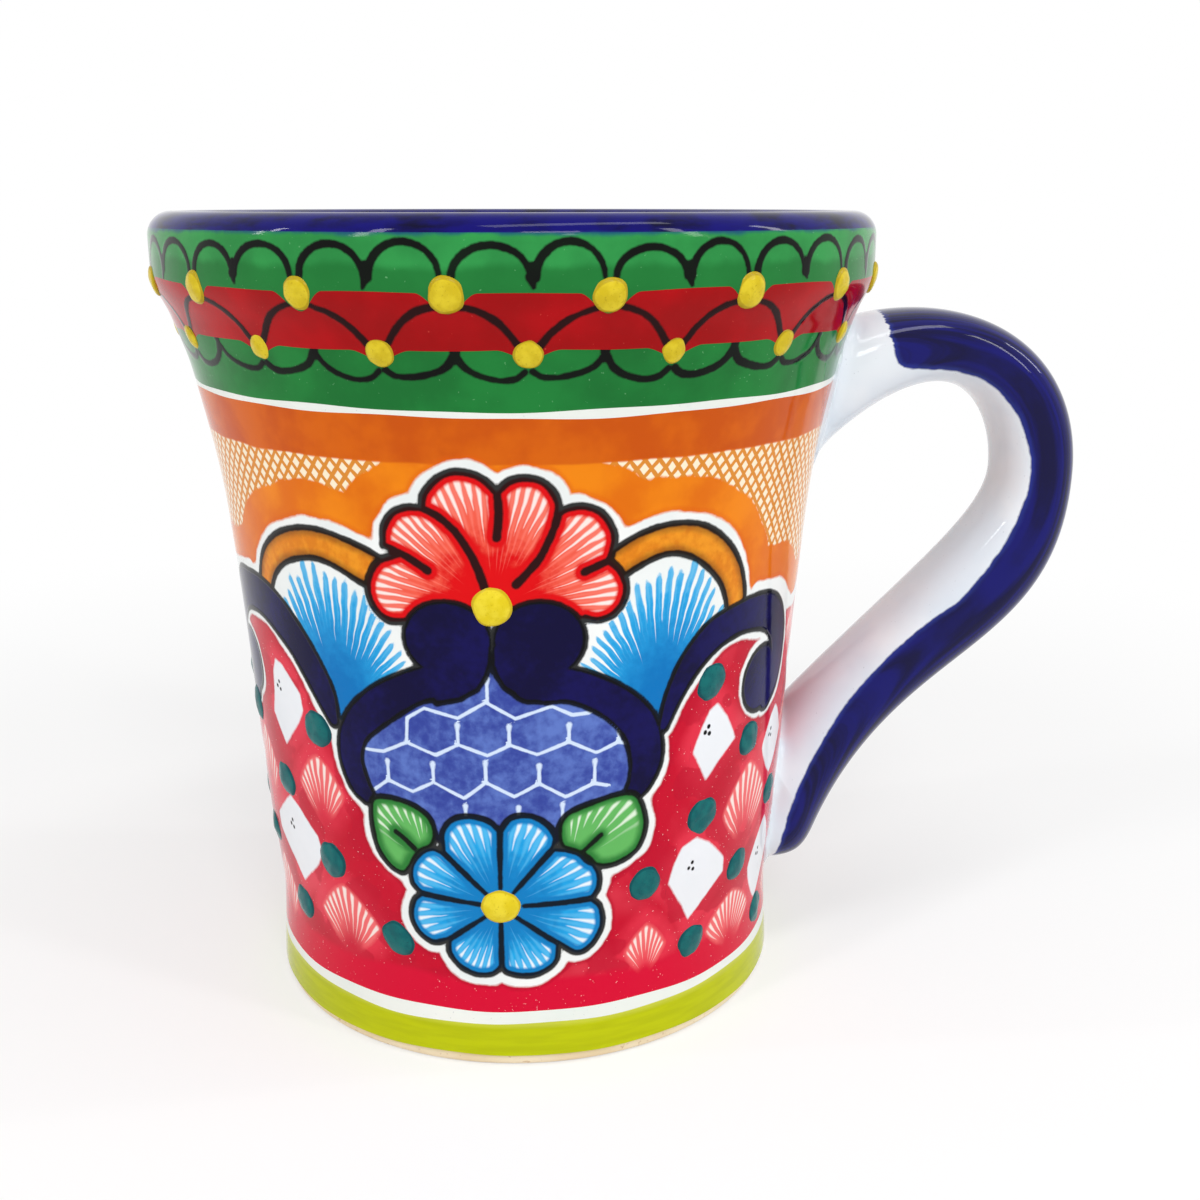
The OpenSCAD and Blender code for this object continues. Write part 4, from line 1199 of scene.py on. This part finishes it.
def columns(rows, turn):
    """Turns in degrees and heights of the teal dots in columns, each from its lowest dot up."""
    return [(column + turn, low + k * TEAL_ROW) for column, low, count in rows for k in range(count)]


beads = bead_tree()
yellow = slip("yellow_slip", "CDB41E", "DCC52C", "A88C10")
heart_yellow = slip("flower_yellow_slip", "E0C81E", "EBD636", "C2A412")
teal = slip("teal_slip", "0A5A5E", "126868", "04404A")
slip_beads("upper_yellow_dots", beads, border_places(UPPER_DOT_TURN, GREEN_Z - YELLOW_DROP),
           UPPER_YELLOW_D, YELLOW_H, 3, yellow)
slip_beads("lower_yellow_dots", beads, border_places(LOWER_DOT_TURN, RED_Z - YELLOW_DROP),
           LOWER_YELLOW_D, YELLOW_H, 11, yellow)
hearts = [(PANEL_TURN + side, z) for side in (0, 180) for z in (RED_FLOWER[1], BLUE_FLOWER[1])]
slip_beads("flower_centres", beads, hearts, FLOWER_D, FLOWER_H, 5, heart_yellow)
crossings = columns(PANEL_DOT_COLUMNS, 0) + columns(PANEL_DOT_COLUMNS, 180)
crossings += columns(PLAIN_SIDE_COLUMNS, 180) + columns(HANDLE_SIDE_COLUMNS, 0)
slip_beads("teal_dots", beads, crossings, TEAL_D, TEAL_H, 9, teal)

# Handle: a pulled strap of clay, pressed onto the wall with slip at both roots, where it spreads,
# with a heel below. White glaze covers it, and a brush of cobalt runs down its back from a ragged
# start near the rim.
ROOT_SINK = 3.0
FAR_X, FAR_Z = 79.0, 72.0
PALM_X = FAR_X - 10.8
STRAP_W = 15.0
ROOT_FLARE = 5.0
FLARE_LENGTH = 0.45
OVAL = 0.85
UPPER_ROOT = (71.0, 92.5)
LOWER_ROOT = (13.5, 32.0)
HEEL_OUT, HEEL_UP = 7.0, 5.0
ANKLE_OUT, ANKLE_RISE = 18.3, 28.5
INSTEP_OUT, INSTEP_RISE = 15.8, 21.8
FILLETS = (2.2, 1.0)
STRAP_STATIONS = 168
HEEL_STATIONS = 24
STRAP_RING = 64
STRIPE_EDGE = [(50.0, 94.6), (50.2, 92.2), (50.8, 89.2), (52.2, 87.4), (56.0, 87.1), (60.5, 86.5),
               (64.8, 84.8), (68.5, 81.1), (70.6, 76.6), (71.3, 72.4), (70.5, 67.6), (68.0, 62.0),
               (62.8, 54.8), (57.8, 50.9), (52.7, 46.2), (46.0, 38.6), (41.0, 30.0), (38.6, 24.0),
               (37.2, 18.0), (36.0, 12.0)]
STRIPE_OUTSIDE = [(36.0, 4.0), (95.0, 4.0), (95.0, 114.0), (49.8, 114.0)]


def root_x(z):
    """How far out a rail of the strap starts at a height, inside the wall."""
    return float(wall_r(z)) - ROOT_SINK


def bezier(points, t):
    """Points at shares of a curve that starts and ends at its outer points and leans to the inner two."""
    a, b, c, d = (np.asarray(p, float) for p in points)
    t = t[:, None]
    return (1 - t) ** 3 * a + 3 * t * (1 - t) ** 2 * b + 3 * t * t * (1 - t) * c + t ** 3 * d


def rail(curves, u):
    """A rail of the strap at stations that count its joined curves."""
    part = np.minimum(u.astype(int), len(curves) - 1)
    line = np.zeros((len(u), 2))
    for i, points in enumerate(curves):
        line[part == i] = bezier(points, u[part == i] - i)
    return line


def rounded(value):
    """A sine or cosine made fuller, so that the strap's section is between an oval and a box."""
    return np.sign(value) * np.abs(value) ** OVAL


def strap_points():
    """The strap's rings of points, spread at both ends in a fillet onto the wall. Each rail is a chain of
    curves, whose middle points pull it to the outline in the photo."""
    low, top = UPPER_ROOT
    sole, tuck = LOWER_ROOT
    heel_z = sole + HEEL_UP
    heel_x = float(wall_r(heel_z)) + HEEL_OUT
    ankle_x = heel_x + ANKLE_OUT - HEEL_OUT
    turn_x = heel_x - HEEL_UP / ANKLE_RISE * (ANKLE_OUT - HEEL_OUT)
    outer_curves = [
        [(root_x(top), top), (FAR_X - 16.1, top + 7.2), (FAR_X, FAR_Z + 18), (FAR_X, FAR_Z)],
        [(FAR_X, FAR_Z), (FAR_X, FAR_Z - 28.5), (ankle_x, heel_z + ANKLE_RISE), (heel_x, heel_z)],
        [(heel_x, heel_z), (turn_x, sole), (heel_x - 3.5, sole), (root_x(sole), sole)]]
    inner_end = np.linspace(tuck, tuck - (tuck - sole) / 3, 4)
    instep = (float(wall_r(tuck)) + INSTEP_OUT, tuck + INSTEP_RISE)
    inner_curves = [
        [(root_x(low), low), (root_x(low) + 21, low + 23.5), (PALM_X, FAR_Z + 11), (PALM_X, FAR_Z)],
        [(PALM_X, FAR_Z), (PALM_X, FAR_Z - 7.5), instep, (root_x(tuck), tuck)],
        [(root_x(z), z) for z in inner_end]]
    strap_u = 1 - np.cos(np.linspace(0, math.pi, STRAP_STATIONS))
    u = np.concatenate([strap_u, np.linspace(2, 3, HEEL_STATIONS + 1)[1:]])
    outer, inner = rail(outer_curves, u), rail(inner_curves, u)
    near_root = np.clip(1 - np.minimum(u, np.maximum(2 - u, 0)) / FLARE_LENGTH, 0, 1)
    half_w = (STRAP_W + ROOT_FLARE * near_root ** 2) / 2
    around = np.linspace(0, 2 * math.pi, STRAP_RING, endpoint=False)
    middle, reach = (outer + inner) / 2, (outer - inner) / 2
    side = rounded(np.cos(around))
    x = middle[:, :1] + reach[:, :1] * side
    z = middle[:, 1:] + reach[:, 1:] * side
    y = half_w[:, None] * rounded(np.sin(around))
    points = np.stack([x, y, z], axis=-1)
    fillet = np.where(u < 1, *FILLETS)[:, None]
    gap = np.clip(np.hypot(x, y) - wall_r(z), 0, fillet)
    spread = fillet - np.sqrt(fillet ** 2 - (fillet - gap) ** 2)
    centre = np.stack([middle[:, 0], np.zeros(len(u)), middle[:, 1]], axis=1)[:, None]
    outward = points - centre
    outward /= np.linalg.norm(outward, axis=-1, keepdims=True)
    return points + outward * spread[..., None]


def handle_glaze():
    made, v, place = new_material("handle_glaze")
    cloud = noise(v, place, 90.0, 3.0)
    speck = noise(v, place, 2600.0, 1.0)
    white = washed(v, cloud, 0.3, 0.7, "E8EEF4", "DAE4EE")
    white = mixed(v, ramped(v, speck, 0.75, 0.79) * 0.35, white, tint("98A0AC"))
    along = painted(v, "along")
    brushed = v.node("ShaderNodeCombineXYZ", {}, {0: along * 0.05, 1: painted(v, "drag") * 2.2, 2: 0.0})
    hairs = noise(v, brushed, 1.0, 4.0)
    start = ramped(v, along, 18.0, 11.0)
    stray = (noise(v, place, 500.0, 3.0) - 0.5) * 0.5 + (hairs - 0.5) * 1.6 * start
    edge = painted(v, "stripe") + stray
    deep = washed(v, hairs, 0.38, 0.62, "06033A", "0C0C68")
    cobalt = mixed(v, ramped(v, edge, -0.9, -0.1) * 0.5, deep, tint("2A3C9C"))
    colour = mixed(v, covered(v, edge, 0.25), white, cobalt)
    surface(v, colour, 0.04 + cloud * 0.05, glaze_relief(v, place) + hairs * 0.05, 0.1, 0.2)
    return made


grid = strap_points()
spot = np.arange(grid.shape[0] * STRAP_RING).reshape(-1, STRAP_RING)
beside = np.roll(spot, -1, axis=1)
strap_faces = np.stack([spot[:-1], beside[:-1], beside[1:], spot[1:]], axis=-1).reshape(-1, 4).tolist()
strap_faces += [spot[0, ::-1].tolist(), spot[-1].tolist()]
handle = new_piece("handle", grid.reshape(-1, 3), strap_faces, handle_glaze())
flank = Painting(grid[..., 0], grid[..., 2], unrolled=False)
flank.fill("stripe", [*curve(STRIPE_EDGE), *STRIPE_OUTSIDE])
strides = np.linalg.norm(np.diff(grid.mean(axis=1), axis=0), axis=1)
along = np.concatenate([[0], np.cumsum(strides)])
flank.layers["along"] = np.repeat(along[:, None], STRAP_RING, axis=1)
flank.layers["drag"] = grid[..., 1]
keep_layers(handle, flank.layers)
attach(handle, "root")
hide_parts("clay_handle", "handle_white_glaze", "handle_blue_stripe", "upper_handle_joint",
            "lower_handle_joint")

# Studio: a plain white floor that keeps the cup's soft shadow, and a white surround.
# Six lamps lay the highlights on the rim, the wall and the strap.
FLOOR_HALF = 3.0
FLOOR_WHITE = 0.5
FLOOR_FADE = (0.1, 0.28)
ROOM_LIGHT = 0.5
LAMPS = [("left_soft_box", (-0.55, -0.5, 0.6), 0.06, (0.06, 0.45), 1.5),
         ("right_soft_box", (0.6, -0.42, 0.55), 0.06, (0.06, 0.45), 1.2),
         ("top_soft_box", (0.15, -0.22, 0.85), 0.05, (0.6, 0.12), 1.6),
         ("front_window", (0.12, -0.6, 0.6), 0.08, (0.2, 0.16), 1.35),
         ("left_strip", (-0.75, -0.1, 0.5), 0.08, (0.02, 0.3), 0.6),
         ("right_strip", (0.75, 0.02, 0.55), 0.08, (0.05, 0.3), 0.7)]
CAMERA_PLACE = (0.0, -0.199911, 0.108956)
CAMERA_TURN = (74.41, 0.0, -3.24)
PHOTO_PX = 1200
FOCAL_PX = 1423.71
SENSOR = 36.0


def seen_rays(v):
    """1 for rays that show the surround: the camera's, and those that shiny or clear surfaces send on."""
    kinds = ("Is Camera Ray", "Is Glossy Ray", "Is Transmission Ray")
    direct, glossy, clear = (v.node("ShaderNodeLightPath", out=kind) for kind in kinds)
    return v.math("ADD", direct + glossy, clear, clamp=True)


def floor_white():
    """Matt white round the cup, where its shadow lies, which passes into the white of the surround."""
    made, v, place = new_material("studio_floor")
    away = v.node("ShaderNodeVectorMath", {"operation": "LENGTH"}, {0: place}, "Value")
    matt = v.node("ShaderNodeBsdfDiffuse", {}, {"Color": (0.92, 0.92, 0.92, 1.0)})
    white = v.node("ShaderNodeEmission", {}, {"Color": (1.0, 1.0, 1.0, 1.0), "Strength": 1.0})
    fade = FLOOR_WHITE + (1 - FLOOR_WHITE) * ramped(v, away, *FLOOR_FADE)
    both = v.node("ShaderNodeMixShader", {}, {0: fade * seen_rays(v), 1: matt, 2: white})
    v.node("ShaderNodeOutputMaterial", {}, {"Surface": both})
    return made


def soft_box(name, place, aim_z, size, power):
    """A rectangular lamp that faces the cup's axis at a height."""
    light = bpy.data.lights.new(name, "AREA")
    light.shape = "RECTANGLE"
    light.size, light.size_y = size
    light.energy = power
    box = bpy.data.objects.new(name, light)
    box.location = place
    sight = Vector((0.0, 0.0, aim_z)) - Vector(place)
    box.rotation_euler = sight.to_track_quat("-Z", "Y").to_euler()
    bpy.context.scene.collection.objects.link(box)


floor_mesh = bpy.data.meshes.new("studio_floor")
floor_corners = [(x * FLOOR_HALF, y * FLOOR_HALF, 0.0) for x, y in ((-1, -1), (1, -1), (1, 1), (-1, 1))]
floor_mesh.from_pydata(floor_corners, [], [(0, 1, 2, 3)])
floor_mesh.materials.append(floor_white())
studio_floor = bpy.data.objects.new("studio_floor", floor_mesh)
bpy.context.scene.collection.objects.link(studio_floor)

world = bpy.data.worlds.new("studio")
world.use_nodes = True
world.node_tree.nodes.clear()
v = Value(world.node_tree)
strength = ROOM_LIGHT + (1 - ROOM_LIGHT) * seen_rays(v)
glow = v.node("ShaderNodeBackground", {}, {"Color": (1.0, 1.0, 1.0, 1.0), "Strength": strength})
v.node("ShaderNodeOutputWorld", {}, {"Surface": glow})
bpy.context.scene.world = world

for lamp in LAMPS:
    soft_box(*lamp)

camera = bpy.data.objects.new("camera", bpy.data.cameras.new("camera"))
camera.location = CAMERA_PLACE
camera.rotation_euler = [math.radians(a) for a in CAMERA_TURN]
camera.data.sensor_width = SENSOR
camera.data.lens = FOCAL_PX * SENSOR / PHOTO_PX
camera.data.clip_start = 0.01
bpy.context.scene.collection.objects.link(camera)
bpy.context.scene.camera = camera
bpy.context.scene.view_settings.view_transform = "Standard"
